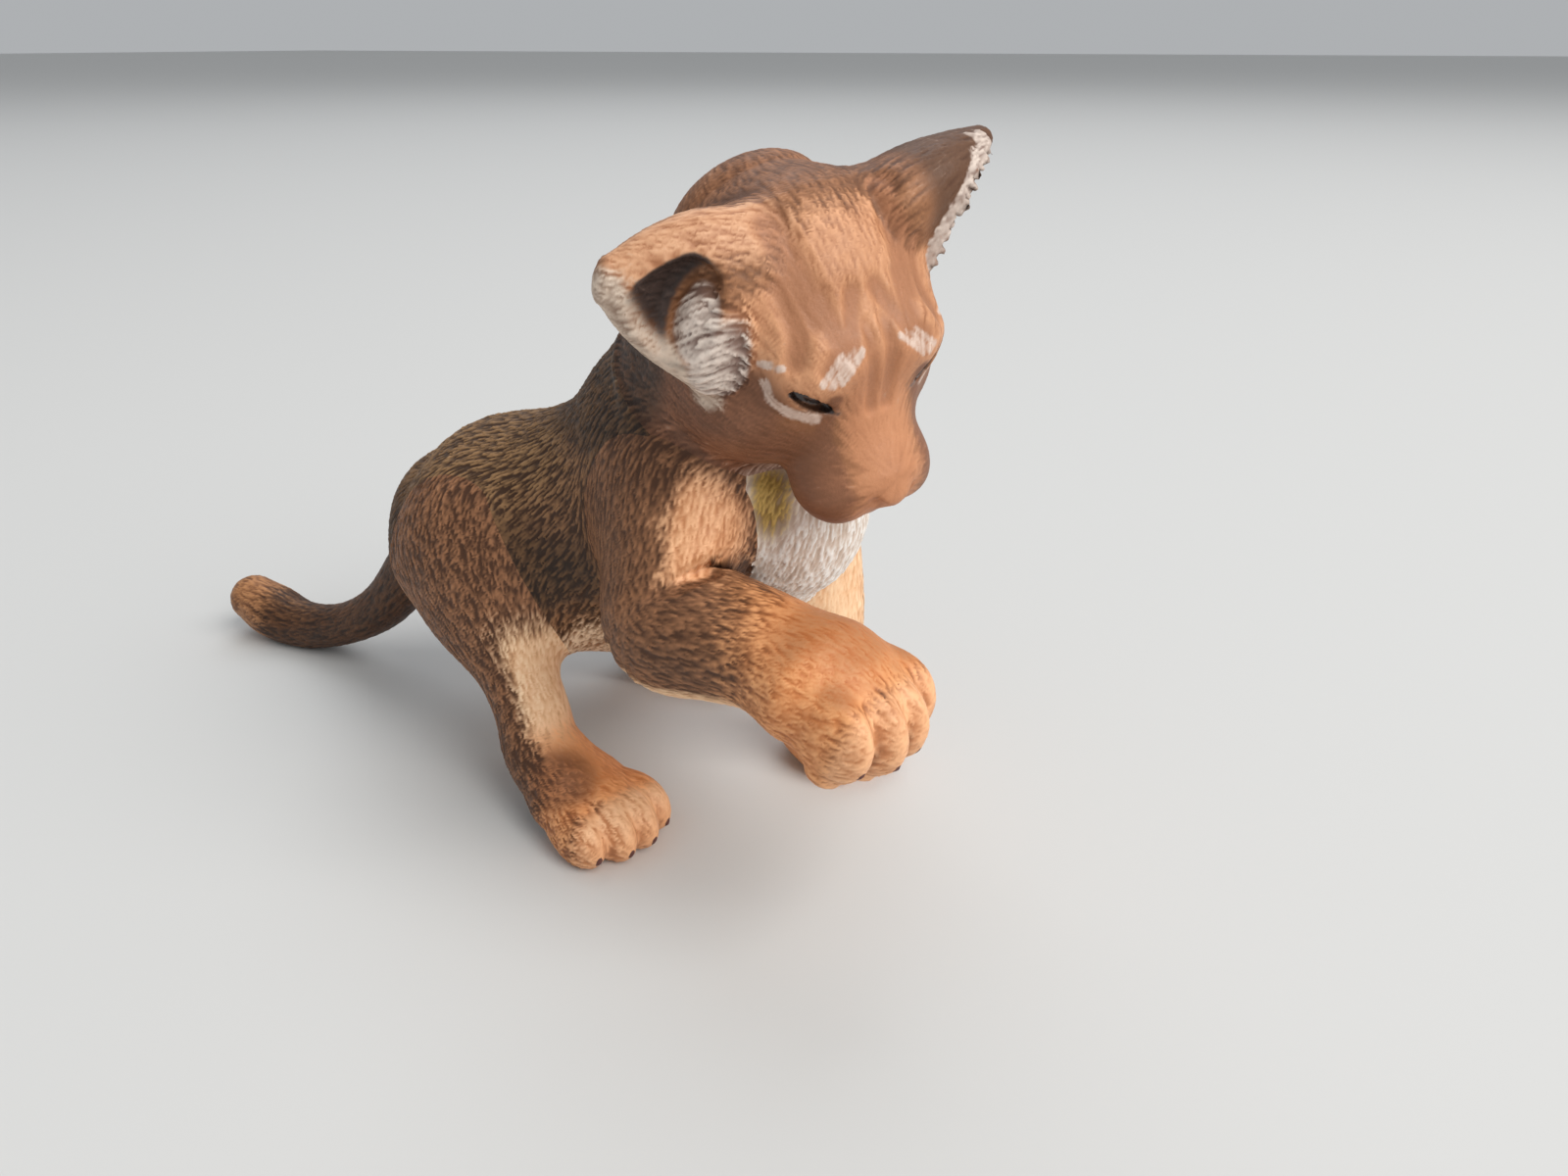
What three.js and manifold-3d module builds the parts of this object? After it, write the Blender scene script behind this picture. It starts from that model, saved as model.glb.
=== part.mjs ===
// A small moulded toy figure of a young wild cat, standing on three legs and its tail with the right
// forepaw raised and the head turned down towards it. The figure is moulded in seven solid pieces, torso,
// head, four legs and tail, and each piece but the torso has a round peg that is glued into a socket.
// Millimetres. X runs forward along the back, Y to the cub's left and Z up. The soles stand on Z = 0.
import * as THREE from "three";
import { mergeVertices } from "three/addons/utils/BufferGeometryUtils.js";
import Module from "manifold-3d";

const wasm = await Module();
wasm.setup();

// Joints between the glued pieces
const jointGap = 0.3; // seam and glue line between two pieces
const legPegRadius = 1.3;
const tailPegRadius = 1.0;
const neckPegRadius = 2.2;
const neckPegLength = 3.2;

// Torso, as oval sections from the rump to the chest
const hipHeight = 14.0; // middle of the body above the ground at the hips
const shoulderHeight = 18.2;
const hipToShoulder = 14.6;
const bodyBend = 0.6; // the shoulders stand this far to the cub's right of the hips
const bellySag = 0.9;
const rumpLength = 3.4; // from the hips back to the rump's own section
const chestLength = 3.4; // from the shoulders forward to the chest's section
const rumpHalfWidth = 5.6;
const rumpHalfDepth = 5.4;
const hipHalfWidth = 6.6;
const hipHalfDepth = 6.8;
const waistHalfWidth = 6.3;
const waistHalfDepth = 7.5;
const ribHalfWidth = 6.2;
const ribHalfDepth = 7.9;
const shoulderHalfWidth = 6.4;
const shoulderHalfDepth = 7.8;
const chestHalfWidth = 5.6;
const chestHalfDepth = 6.6;
const ruffHalfLength = 3.4; // the ruff of fur on the chest
const ruffHalfWidth = 4.3;
const ruffHalfHeight = 5.1;
const withersHalfLength = 8.7; // the mass of the shoulders, from the withers to the throat
const withersHalfWidth = 6.4;
const withersHalfHeight = 7.7;

// Neck and head
const neckLength = 6.0;
const neckHalfWidth = 6.1;
const neckHalfDepth = 6.4;
const neckParting = 3.6; // up the neck, where the head is parted from the torso
const headTurn = THREE.MathUtils.degToRad(-25); // towards the cub's right
const headNod = THREE.MathUtils.degToRad(36); // nose down
const headTilt = THREE.MathUtils.degToRad(12); // left ear up
const headForward = 6.4; // from the shoulders to the middle of the skull
const headAside = 3.6;
const headRise = 12.5;
const skullHalfLength = 7.2;
const skullHalfWidth = 6.1;
const skullHalfHeight = 5.3;
const muzzleLength = 10.6; // from the middle of the skull to the tip of the nose
const muzzleHalfWidth = 3.2;
const muzzleHalfHeight = 2.7;
const muzzleDrop = 3.7;
const noseHalfWidth = 1.15;
const chinHalfWidth = 1.5;
const whiskerPadRadius = 1.85;
const browHalfWidth = 1.9;
const cheekHalfThickness = 2.6;
const mouthRadius = 2.1;
const mouthDepth = 0.22;
const eyeSpacing = 6.3;
const eyeHalfLength = 1.2; // of the slit between the lids
const eyeHalfHeight = 0.42;
const earSpan = 5.6; // from the middle of its root to the middle of its tip, towards the side
const earHalfWidth = 3.7;
const earHalfThickness = 2.3;
const earWall = 1.25;
const earHollowLow = 0.55; // how far below the ear's middle its hollow lies
const rightEarRise = 1.4; // from its root to its tip
const leftEarRise = 1.5;
const rightEarSweep = 1.7; // how far its tip lies behind its root
const leftEarSweep = 1.3;
const rightEarHeight = 2.4; // of its root above the middle of the skull
const leftEarHeight = 3.4;
const rightEarForward = 0.8;

// Legs
const hipSpread = 3.6; // from the middle of the body to each hip
const thighHalfWidth = 3.5;
const thighHalfDepth = 5.2;
const haunchHalfLength = 6.9;
const haunchHalfThickness = 3.9;
const haunchHalfHeight = 6.2;
const haunchSpread = 4.25; // from the middle of the body to the middle of each haunch
const haunchDrop = 1.15;
const rightHaunchForward = 1.6;
const leftHaunchForward = 1.0;
const shankHalfWidth = 2.2;
const shankHalfDepth = 2.4;
const shoulderSpread = 3.4; // from the middle of the body to each shoulder joint
const shoulderJointForward = 1.9;
const shoulderJointRise = 1.6;
const armHalfWidth = 3.3;
const armHalfDepth = 4.8;
const bladeHalfLength = 5.9; // the muscle over each shoulder blade
const bladeHalfThickness = 4.0;
const bladeHalfHeight = 7.2;
const bladeForward = 1.4;
const bladeSpread = 3.6;
const raisedBladeShare = 0.83; // the raised leg's, drawn up and smaller
const raisedBladeForward = 0.8;
const raisedBladeSpread = 5.3;
const raisedBladeRise = 1.1;
const forearmHalfWidth = 2.9;
const wristHalfWidth = 2.5;

// Paws
const ankleHeight = 3.7;
const pawHalfLength = 3.4;
const pawHalfWidth = 3.2;
const pawHalfHeight = 2.35;
const soleCut = 0.45; // how much of each paw is cut flat underneath
const toeCount = 4;
const toeRadius = 1.2;
const toeReach = 1.75;

// Stance: each standing paw's middle, forward of and beside the hips or shoulders
const rightHindForward = 11.9;
const rightHindAside = 9.4;
const leftHindForward = 8.0;
const leftHindAside = 10.3;
const leftForeForward = 6.4;
const leftForeAside = 4.7;
const hindFootLength = 5.3; // from the ankle to the paw's middle
const foreFootLength = 1.9;
const instepDrop = 0.45; // how far the top of a standing foot falls away before the ankle
const hindBow = 0.3; // how far each leg bows forward between its joint and the ankle
const foreBow = 0.8;
const toeOut = THREE.MathUtils.degToRad(18); // the hind paws point outwards
const toeIn = THREE.MathUtils.degToRad(13); // the left forepaw points inwards

// The raised right foreleg, from the shoulders
const bladeRise = 4.0;
const elbowForward = 2.2;
const elbowAside = 8.7;
const elbowDrop = 3.3;
const raisedForearm = 6.0; // from the elbow to the wrist
const raisedPawReach = 4.8; // from the wrist to the paw's middle
const raisedPawDrop = 1.2;
const raisedPawSwell = 0.6; // the raised paw is spread wider than the standing ones
const pawPadRadius = 0.75; // the pads that show under the raised paw
const heelPadBack = 1.6; // from the paw's middle back to its broad pad
const raisedAside = THREE.MathUtils.degToRad(10); // the forearm points outwards

// Tail
const tailReach = 21.6; // from its root back to its tip
const tailBend = 1.0; // towards the cub's left
const tailHalfWidth = 1.75;
const tailRootHalfDepth = 2.6;
const tailTipRadius = 1.95;
const tailFlat = 0.2; // how much of it is cut flat where it lies on the ground

const point = (x, y, z) => new THREE.Vector3(x, y, z);
const moved = (a, x, y, z) => a.clone().add(point(x, y, z));
const between = (a, b, share) => a.clone().lerp(b, share);
const turned = (x, y, z) => new THREE.Quaternion().setFromEuler(new THREE.Euler(x, y, z, "ZYX"));
const station = (at, wide, deep) => ({ at, wide, deep });
const joined = (solids) => solids.reduce((whole, solid) => whole.add(solid));
const without = (solid, cuts) => cuts.reduce((rest, cut) => rest.subtract(cut), solid);

// A cut can leave crumbs beside the piece, so only the largest body is kept.
const largest = (solid) => solid.decompose().reduce((a, b) => (a.volume() > b.volume() ? a : b));

// A closed mesh, its vertices merged on position alone, becomes a solid.
function solidOf(geometry) {
  const bare = geometry.clone();
  bare.deleteAttribute("normal");
  bare.deleteAttribute("uv");
  const merged = mergeVertices(bare, 1e-4);
  return new wasm.Manifold(
    new wasm.Mesh({
      numProp: 3,
      vertProperties: merged.attributes.position.array,
      triVerts: new Uint32Array(merged.index.array),
    }),
  );
}

function geometryOf(solid) {
  const mesh = solid.getMesh();
  const geometry = new THREE.BufferGeometry();
  geometry.setAttribute("position", new THREE.BufferAttribute(mesh.vertProperties, 3));
  geometry.setIndex(new THREE.BufferAttribute(mesh.triVerts, 1));
  geometry.computeVertexNormals();
  return geometry;
}

// A limb or body lofted through oval sections along a smooth line, with a dome on each end
const domeAngles = [0.32, 0.62, 0.88].map((share) => (share * Math.PI) / 2);

function loft(stations, { up = point(0, 0, 1), sides = 16, steps = 3, dome = 1, grow = 0 } = {}) {
  const line = new THREE.CatmullRomCurve3(stations.map((s) => s.at), false, "catmullrom");
  const sizes = stations.map((s) => point(s.wide, s.deep, 0));
  const sizeLine = new THREE.CatmullRomCurve3(sizes, false, "catmullrom");
  const vertices = [];

  // A ring at t along the line, or at an angle up the dome on that end of it
  function addRing(t, angle, end) {
    const size = sizeLine.getPoint(t);
    const along = line.getTangent(t);
    const across = up.clone().cross(along).normalize();
    const above = along.clone().cross(across);
    const wide = (size.x + grow) * Math.cos(angle);
    const deep = (size.y + grow) * Math.cos(angle);
    const reach = end * (((size.x + size.y) / 2) * dome + grow);
    const centre = line.getPoint(t).addScaledVector(along, reach * Math.sin(angle));
    for (let i = 0; i < sides; i++) {
      const turn = (i / sides) * 2 * Math.PI;
      const place = centre.clone();
      place.addScaledVector(across, wide * Math.cos(turn));
      place.addScaledVector(above, deep * Math.sin(turn));
      vertices.push(...place.toArray());
    }
    return centre.addScaledVector(along, reach * (1 - Math.sin(angle)));
  }

  const spans = (stations.length - 1) * steps;
  const firstTips = [...domeAngles].reverse().map((angle) => addRing(0, angle, -1));
  for (let i = 0; i <= spans; i++) addRing(i / spans, 0, 0);
  const lastTips = domeAngles.map((angle) => addRing(1, angle, 1));

  const rings = vertices.length / 3 / sides;
  const firstTip = rings * sides;
  vertices.push(...firstTips.at(-1).toArray(), ...lastTips.at(-1).toArray());
  const faces = [];
  for (let i = 0; i < sides; i++) {
    const next = (i + 1) % sides;
    for (let ring = 0; ring < rings - 1; ring++) {
      const low = ring * sides;
      const high = low + sides;
      faces.push(low + i, low + next, high + i, low + next, high + next, high + i);
    }
    const top = (rings - 1) * sides;
    faces.push(firstTip, next, i, firstTip + 1, top + i, top + next);
  }
  const geometry = new THREE.BufferGeometry();
  geometry.setAttribute("position", new THREE.Float32BufferAttribute(vertices, 3));
  geometry.setIndex(faces);
  return solidOf(geometry);
}

function ellipsoid(at, radii, turn = turned(0, 0, 0), around = 12, rings = 8) {
  const geometry = new THREE.SphereGeometry(1, around, rings);
  geometry.applyMatrix4(new THREE.Matrix4().compose(at, turn, radii));
  return solidOf(geometry);
}

// A round peg, or the socket for one, from one point to another
function rod(from, to, radius) {
  const geometry = new THREE.CylinderGeometry(radius, radius, from.distanceTo(to), 16);
  const along = to.clone().sub(from).normalize();
  const turn = new THREE.Quaternion().setFromUnitVectors(point(0, 1, 0), along);
  geometry.applyMatrix4(new THREE.Matrix4().compose(between(from, to, 0.5), turn, point(1, 1, 1)));
  return solidOf(geometry);
}

// Everything on one side of a plane through a point, as a block that cuts
function halfSpace(at, normal) {
  const size = 4 * (hipToShoulder + tailReach);
  const geometry = new THREE.BoxGeometry(size, size, size);
  geometry.translate(0, 0, size / 2);
  const turn = new THREE.Quaternion().setFromUnitVectors(point(0, 0, 1), normal);
  geometry.applyMatrix4(new THREE.Matrix4().compose(at, turn, point(1, 1, 1)));
  return solidOf(geometry);
}

const ground = halfSpace(point(0, 0, 0), point(0, 0, -1));

// Torso, with the neck up to its parting plane
const hips = point(0, 0, hipHeight);
const shoulders = point(hipToShoulder, -bodyBend, shoulderHeight);
const rump = moved(hips, -rumpLength, 0, -bellySag);
const chest = moved(shoulders, chestLength, -bodyBend / 2, 2 * bellySag);
const torsoStations = [
  station(rump, rumpHalfWidth, rumpHalfDepth),
  station(hips, hipHalfWidth, hipHalfDepth),
  station(moved(between(hips, shoulders, 0.34), 0, 0, -bellySag), waistHalfWidth, waistHalfDepth),
  station(moved(between(hips, shoulders, 0.68), 0, 0, -bellySag), ribHalfWidth, ribHalfDepth),
  station(shoulders, shoulderHalfWidth, shoulderHalfDepth),
  station(chest, chestHalfWidth, chestHalfDepth),
];
const torsoLoft = { sides: 20, dome: 0.8 };

const ruffAt = moved(chest, 0.35 * ruffHalfLength, bodyBend / 2, 0.1 * ruffHalfHeight);
const ruffRadii = point(ruffHalfLength, ruffHalfWidth, ruffHalfHeight);
const withersAt = moved(shoulders, 0.035 * withersHalfLength, 0, 0.285 * withersHalfHeight);
const withersRadii = point(withersHalfLength, withersHalfWidth, withersHalfHeight);

const neckRoot = moved(shoulders, -0.5, 0, shoulderHalfDepth / 2);
const neckWay = point(0.58, -0.3, 0.76).normalize();
const upNeck = (distance) => neckRoot.clone().addScaledVector(neckWay, distance);
const neckStations = [
  station(neckRoot, neckHalfWidth + 0.3, neckHalfDepth + 0.3),
  station(upNeck(neckLength), neckHalfWidth - 0.1, neckHalfDepth - 0.3),
];
const neckLoft = { up: point(1, 0, 0), sides: 20, steps: 2 };

function torsoBody(grow) {
  const neck = loft(neckStations, { ...neckLoft, grow });
  const aboveParting = halfSpace(upNeck(neckParting + grow), neckWay);
  const body = loft(torsoStations, { ...torsoLoft, grow });
  const upright = turned(0, 0, 0);
  const ruff = ellipsoid(ruffAt, ruffRadii.clone().addScalar(grow), upright, 14, 10);
  const withers = ellipsoid(withersAt, withersRadii.clone().addScalar(grow), upright, 22, 14);
  return joined([body, ruff, joined([neck, withers]).subtract(aboveParting)]);
}
const headSeat = torsoBody(jointGap);
const limbSeat = headSeat.add(loft(neckStations, { ...neckLoft, grow: jointGap }));

// A limb is drawn from inside the torso and cut off at the torso's skin, where a peg takes its place.
const sockets = [];
function seated(limb, from, to, radius) {
  const end = from.clone().addScaledVector(to.clone().sub(from).normalize(), -2 * jointGap);
  sockets.push(rod(end, to, radius + jointGap));
  return largest(limb.subtract(limbSeat)).add(rod(from, to, radius));
}

// Toes fan out across the front of a paw, the middle ones furthest forward.
function toes(paw, heading, droop, halfWidth) {
  const turn = turned(0, droop, heading);
  const spacing = (2 * halfWidth - toeRadius) / toeCount + 0.15;
  const radii = point(toeRadius * 1.5, toeRadius, toeRadius * 1.2);
  return Array.from({ length: toeCount }, (_, i) => {
    const side = i - (toeCount - 1) / 2;
    const offset = point(toeReach - 0.45 * side * side, side * spacing, -0.3 * toeRadius);
    return ellipsoid(paw.clone().add(offset.applyQuaternion(turn)), radii, turn, 10, 8);
  });
}

// Under a raised paw, a pad to each toe and a broad one behind them
function pads(paw, heading, droop, halfWidth) {
  const turn = turned(0, droop, heading);
  const spacing = (2 * halfWidth - toeRadius) / toeCount;
  const low = -(pawHalfHeight + raisedPawSwell) * 0.66;
  const set = (x, y, radii) => {
    const offset = point(x, y, low).applyQuaternion(turn);
    return ellipsoid(paw.clone().add(offset), radii.multiplyScalar(pawPadRadius), turn, 10, 6);
  };
  const toePads = Array.from({ length: toeCount }, (_, i) => {
    const side = i - (toeCount - 1) / 2;
    return set(toeReach - 0.4 * side * side, side * spacing, point(1.3, 1, 1));
  });
  return [...toePads, set(-heelPadBack, 0, point(2, 2.7, 1.2))];
}

// A standing leg runs from inside the torso to its ankle, and its paw is cut flat on the ground.
const pawMiddle = pawHalfHeight - soleCut;

function standingLeg({ root, paw, heading, footLength, bow, sections, muscle }) {
  const ankle = moved(paw, -footLength * Math.cos(heading), -footLength * Math.sin(heading), 0);
  ankle.z = ankleHeight;
  const leg = sections.map(([share, wide, deep]) =>
    station(moved(between(root, ankle, share), bow * Math.sin(share * Math.PI), 0, 0), wide, deep),
  );
  const instep = moved(between(ankle, paw, 0.45), 0, 0, -instepDrop);
  leg.push(station(instep, pawHalfWidth * 0.9, pawHalfHeight - 0.2));
  leg.push(station(paw, pawHalfWidth, pawHalfHeight));
  const limb = loft(leg, { up: point(1, 0, 1), dome: 0.55, steps: 2 });
  const setBack = 0.18 * pawHalfLength;
  const heelAt = moved(paw, -setBack * Math.cos(heading), -setBack * Math.sin(heading), 0);
  const heelRadii = point(pawHalfLength, pawHalfWidth, pawHalfHeight - 0.1);
  const heel = ellipsoid(heelAt, heelRadii, turned(0, 0, heading));
  const foot = [heel, ...toes(paw, heading, 0, pawHalfWidth)];
  const whole = joined([limb, muscle, ...foot]).subtract(ground);
  return seated(whole, root, between(root, ankle, 0.5), legPegRadius);
}

const hindSections = [
  [0, thighHalfWidth, thighHalfDepth],
  [0.3, thighHalfWidth * 0.9, thighHalfDepth * 0.83],
  [0.58, shankHalfWidth + 0.1, shankHalfDepth + 0.3],
  [0.8, shankHalfWidth, shankHalfDepth - 0.1],
  [1, shankHalfWidth + 0.2, shankHalfDepth],
];
const foreSections = [
  [0, armHalfWidth, armHalfDepth],
  [0.27, armHalfWidth, armHalfDepth * 0.84],
  [0.57, forearmHalfWidth, forearmHalfWidth + 0.2],
  [0.84, wristHalfWidth, wristHalfWidth + 0.1],
  [1, wristHalfWidth + 0.2, wristHalfWidth + 0.1],
];

const haunchRadii = point(haunchHalfLength, haunchHalfThickness, haunchHalfHeight);
const haunch = (side, forward) =>
  ellipsoid(moved(hips, forward, side * haunchSpread, -haunchDrop), haunchRadii, turned(0, 0.23, 0), 16, 12);
const bladeRadii = point(bladeHalfLength, bladeHalfThickness, bladeHalfHeight);
const bladeTurn = turned(0, 0.1, 0);
function blade(offset, share) {
  const radii = bladeRadii.clone().multiplyScalar(share);
  return ellipsoid(shoulders.clone().add(offset), radii, bladeTurn, 16, 12);
}

const rightHindLeg = standingLeg({
  root: moved(hips, -0.5, -hipSpread, 0),
  paw: point(rightHindForward, -rightHindAside, pawMiddle),
  heading: -toeOut,
  footLength: hindFootLength,
  bow: hindBow,
  sections: hindSections,
  muscle: haunch(-1, rightHaunchForward),
});
const leftHindLeg = standingLeg({
  root: moved(hips, -0.5, hipSpread, 0),
  paw: point(leftHindForward, leftHindAside, pawMiddle),
  heading: toeOut,
  footLength: hindFootLength,
  bow: hindBow,
  sections: hindSections,
  muscle: haunch(1, leftHaunchForward),
});
const leftForeleg = standingLeg({
  root: moved(shoulders, shoulderJointForward, shoulderSpread, shoulderJointRise),
  paw: point(hipToShoulder + leftForeForward, leftForeAside - bodyBend, pawMiddle),
  heading: -toeIn,
  footLength: foreFootLength,
  bow: foreBow,
  sections: foreSections,
  muscle: blade(point(bladeForward, bladeSpread, 0), 1),
});

// The raised foreleg runs out and down from the shoulder blade to the elbow, then forward to the paw.
const bladeTop = moved(shoulders, -0.4, -shoulderSpread, bladeRise);
const elbow = moved(shoulders, elbowForward, -elbowAside, -elbowDrop);
const forward = point(Math.cos(raisedAside), -Math.sin(raisedAside), 0);
const wrist = elbow.clone().addScaledVector(forward, raisedForearm);
const hangingPaw = wrist.clone().addScaledVector(forward, raisedPawReach);
hangingPaw.z -= raisedPawDrop;
const wideHalf = pawHalfWidth + raisedPawSwell;
const raisedStations = [
  station(bladeTop, armHalfWidth, armHalfDepth - 0.2),
  station(between(bladeTop, elbow, 0.36), armHalfWidth + 0.3, armHalfDepth + 0.1),
  station(between(bladeTop, elbow, 0.74), armHalfWidth, armHalfDepth - 0.6),
  station(elbow, armHalfWidth, forearmHalfWidth + 0.8),
  station(between(elbow, wrist, 0.45), armHalfWidth, forearmHalfWidth + 0.4),
  station(wrist, forearmHalfWidth + 0.2, forearmHalfWidth),
  station(between(wrist, hangingPaw, 0.5), wideHalf - 0.5, forearmHalfWidth + 0.1),
  station(hangingPaw, wideHalf, pawHalfHeight + raisedPawSwell),
];
const raisedLoft = { up: point(1, 0, 1), dome: 0.55, steps: 2 };
const raisedBladeOffset = point(raisedBladeForward, -raisedBladeSpread, raisedBladeRise);
const raisedBlade = (grow) => blade(raisedBladeOffset, raisedBladeShare + grow / bladeHalfThickness);
const raisedLimb = joined([
  loft(raisedStations, raisedLoft),
  raisedBlade(0),
  ...toes(hangingPaw, -raisedAside, 0.38, wideHalf),
  ...pads(hangingPaw, -raisedAside, 0.38, wideHalf),
]);
const rightForeleg = seated(
  raisedLimb,
  moved(shoulders, shoulderJointForward, -shoulderSpread, 0),
  between(bladeTop, elbow, 0.8),
  legPegRadius,
);

// The tail falls from the rump, lies on the ground and lifts a little at its thick tip.
const tailRoot = moved(rump, -2.2, 0.4, 0);
const tailRest = tailHalfWidth - tailFlat;
const alongTail = (share, height) =>
  point(tailRoot.x - tailReach * share, tailRoot.y + tailBend * Math.sqrt(share), height);
const tailStations = [
  station(tailRoot, tailHalfWidth + 0.5, tailRootHalfDepth),
  station(alongTail(0.16, tailRoot.z * 0.72), tailHalfWidth + 0.15, tailRootHalfDepth - 0.5),
  station(alongTail(0.34, tailRoot.z * 0.4), tailHalfWidth - 0.15, tailHalfWidth - 0.05),
  station(alongTail(0.54, tailRoot.z * 0.21), tailHalfWidth - 0.25, tailHalfWidth - 0.15),
  station(alongTail(0.74, tailRest), tailHalfWidth, tailHalfWidth),
  station(alongTail(0.88, tailTipRadius + 0.2), tailTipRadius, tailTipRadius),
  station(alongTail(0.97, tailTipRadius + 0.8), tailTipRadius - 0.1, tailTipRadius - 0.1),
];
const wholeTail = loft(tailStations, { up: point(0, 1, 0), sides: 14, steps: 2 }).subtract(ground);
const tail = seated(wholeTail, rump, alongTail(0.2, tailRoot.z * 0.68), tailPegRadius);

// Head, in its own frame: X towards the nose, Y to its left, Z up, from the middle of the skull
const skull = loft(
  [
    station(point(-skullHalfLength * 0.6, 0, 0.6), skullHalfWidth * 0.68, skullHalfHeight * 0.76),
    station(point(-skullHalfLength * 0.2, 0, 0.9), skullHalfWidth * 0.96, skullHalfHeight),
    station(point(skullHalfLength * 0.28, 0, 0.3), skullHalfWidth, skullHalfHeight * 0.98),
    station(point(skullHalfLength * 0.64, 0, -0.6), skullHalfWidth * 0.79, skullHalfHeight * 0.8),
  ],
  { sides: 18, dome: 0.55 },
);
const muzzleFront = muzzleLength - 0.55 * muzzleHalfWidth;
const muzzle = loft(
  [
    station(point(skullHalfLength * 0.55, 0, -2.0), muzzleHalfWidth + 0.9, muzzleHalfHeight + 0.7),
    station(point(muzzleFront * 0.8, 0, -muzzleDrop + 0.6), muzzleHalfWidth, muzzleHalfHeight),
    station(point(muzzleFront, 0, -muzzleDrop), muzzleHalfWidth * 0.8, muzzleHalfHeight * 0.8),
  ],
  { dome: 0.55, steps: 2 },
);
const chinRadii = point(1.4, 1, 0.73).multiplyScalar(chinHalfWidth);
const chin = ellipsoid(point(muzzleFront - 1.0, 0, -muzzleDrop - 1.6), chinRadii);
const nose = ellipsoid(point(muzzleLength - 0.6, 0, -muzzleDrop + 0.7), point(0.8, noseHalfWidth, 0.75));
const mouth = new THREE.TorusGeometry(mouthRadius, mouthDepth, 5, 14);
mouth.scale(1.1, 1, 1);
mouth.translate(muzzleFront - 0.5, 0, -muzzleDrop - 1.3);

// An ear is a deep cup that stands out from the side of the skull. It opens towards its facing, and is
// half filled with fur on the side of the face.
const earRootAside = skullHalfWidth * 0.8;
const earFurRadii = point(0.6, 0.76, 0.43).multiplyScalar(earHalfWidth);

function ear(side, { root, sweep, rise, facing }) {
  const tip = moved(root, -sweep, side * earSpan, rise);
  const along = tip.clone().sub(root).normalize();
  const open = facing.clone().projectOnPlane(along).normalize();
  const across = open.clone().cross(along);
  function horn(outline, inset, forward, aside = 0) {
    const stations = outline.map(([share, wide, thick]) =>
      station(
        between(root, tip, share).addScaledVector(open, forward - 0.3).addScaledVector(across, aside),
        Math.max(earHalfWidth * wide - inset, 0.25),
        Math.max(earHalfThickness * thick - inset * 0.4, 0.25),
      ),
    );
    return loft(stations, { up: open, dome: 0.5, sides: 14, steps: 2 });
  }
  const outside = [
    [-0.2, 1, 1],
    [0, 1, 1],
    [0.35, 0.88, 0.84],
    [0.68, 0.6, 0.55],
    [0.93, 0.27, 0.28],
  ];
  const inside = [
    [0.22, 0.9, 0.85],
    [0.4, 0.95, 0.85],
    [0.6, 0.78, 0.7],
    [0.8, 0.5, 0.42],
  ];
  const axes = new THREE.Matrix4().makeBasis(along, across, open);
  const furOffset = point(0.1, -side * 0.27, 0.13).multiplyScalar(earHalfWidth);
  const furAt = root.clone().add(furOffset.applyMatrix4(axes));
  const furTurn = new THREE.Quaternion().setFromRotationMatrix(axes);
  return {
    outside: horn(outside, 0, 0),
    hollow: horn(inside, earWall, earHalfThickness * 0.65, -side * earHollowLow),
    fur: ellipsoid(furAt, earFurRadii, furTurn, 14, 10),
  };
}

// Both sides of the face are alike: brow, heavy eyelid with a narrow slit, cheek and whisker pad.
const eyeSpot = point(skullHalfLength * 0.85, eyeSpacing / 2, 0.95);
const eyeLong = point(-0.37, 0.8, 0.48).normalize(); // from the inner corner to the outer one
const eyeFacing = point(0.85, 0.45, 0.25).projectOnPlane(eyeLong).normalize();

const onSkull = (x, y, z) => point(x * skullHalfLength, y * skullHalfWidth, z * skullHalfHeight);
const browRadii = point(0.9, 1, 0.58).multiplyScalar(browHalfWidth);
const cheekRadii = point(1.42, 1, 1.19).multiplyScalar(cheekHalfThickness);
const padRadii = point(1.25, 0.97, 1).multiplyScalar(whiskerPadRadius);

function faceSide(side) {
  const mirrored = (v) => point(v.x, side * v.y, v.z);
  const [long, facing] = [mirrored(eyeLong), mirrored(eyeFacing)];
  const frame = new THREE.Matrix4().makeBasis(facing, long, facing.clone().cross(long));
  const eyeTurn = new THREE.Quaternion().setFromRotationMatrix(frame);
  const inEye = (depth, radii) =>
    ellipsoid(mirrored(eyeSpot).addScaledVector(facing, depth), radii, eyeTurn, 10, 8);
  return {
    lid: inEye(-0.45, point(0.9, eyeHalfLength + 0.5, 1.05)),
    slit: inEye(0.3, point(0.65, eyeHalfLength, eyeHalfHeight)),
    eye: inEye(-0.5, point(0.62, eyeHalfLength - 0.15, eyeHalfHeight + 0.1)),
    brow: ellipsoid(onSkull(0.7, side * 0.41, 0.43), browRadii, turned(side * -0.4, 0.4, 0)),
    cheek: ellipsoid(onSkull(0.3, side * 0.64, -0.49), cheekRadii),
    pad: ellipsoid(
      point(muzzleFront - 1.0, side * 0.56 * muzzleHalfWidth, -muzzleDrop - 0.2),
      padRadii,
    ),
  };
}

const headSpot = moved(shoulders, headForward, -headAside, headRise);
const headPose = new THREE.Matrix4().compose(headSpot, turned(headTilt, headNod, headTurn), point(1, 1, 1));
const intoHead = headPose.clone().invert().elements;
const inHead = (solid) => solid.transform(intoHead);

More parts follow.
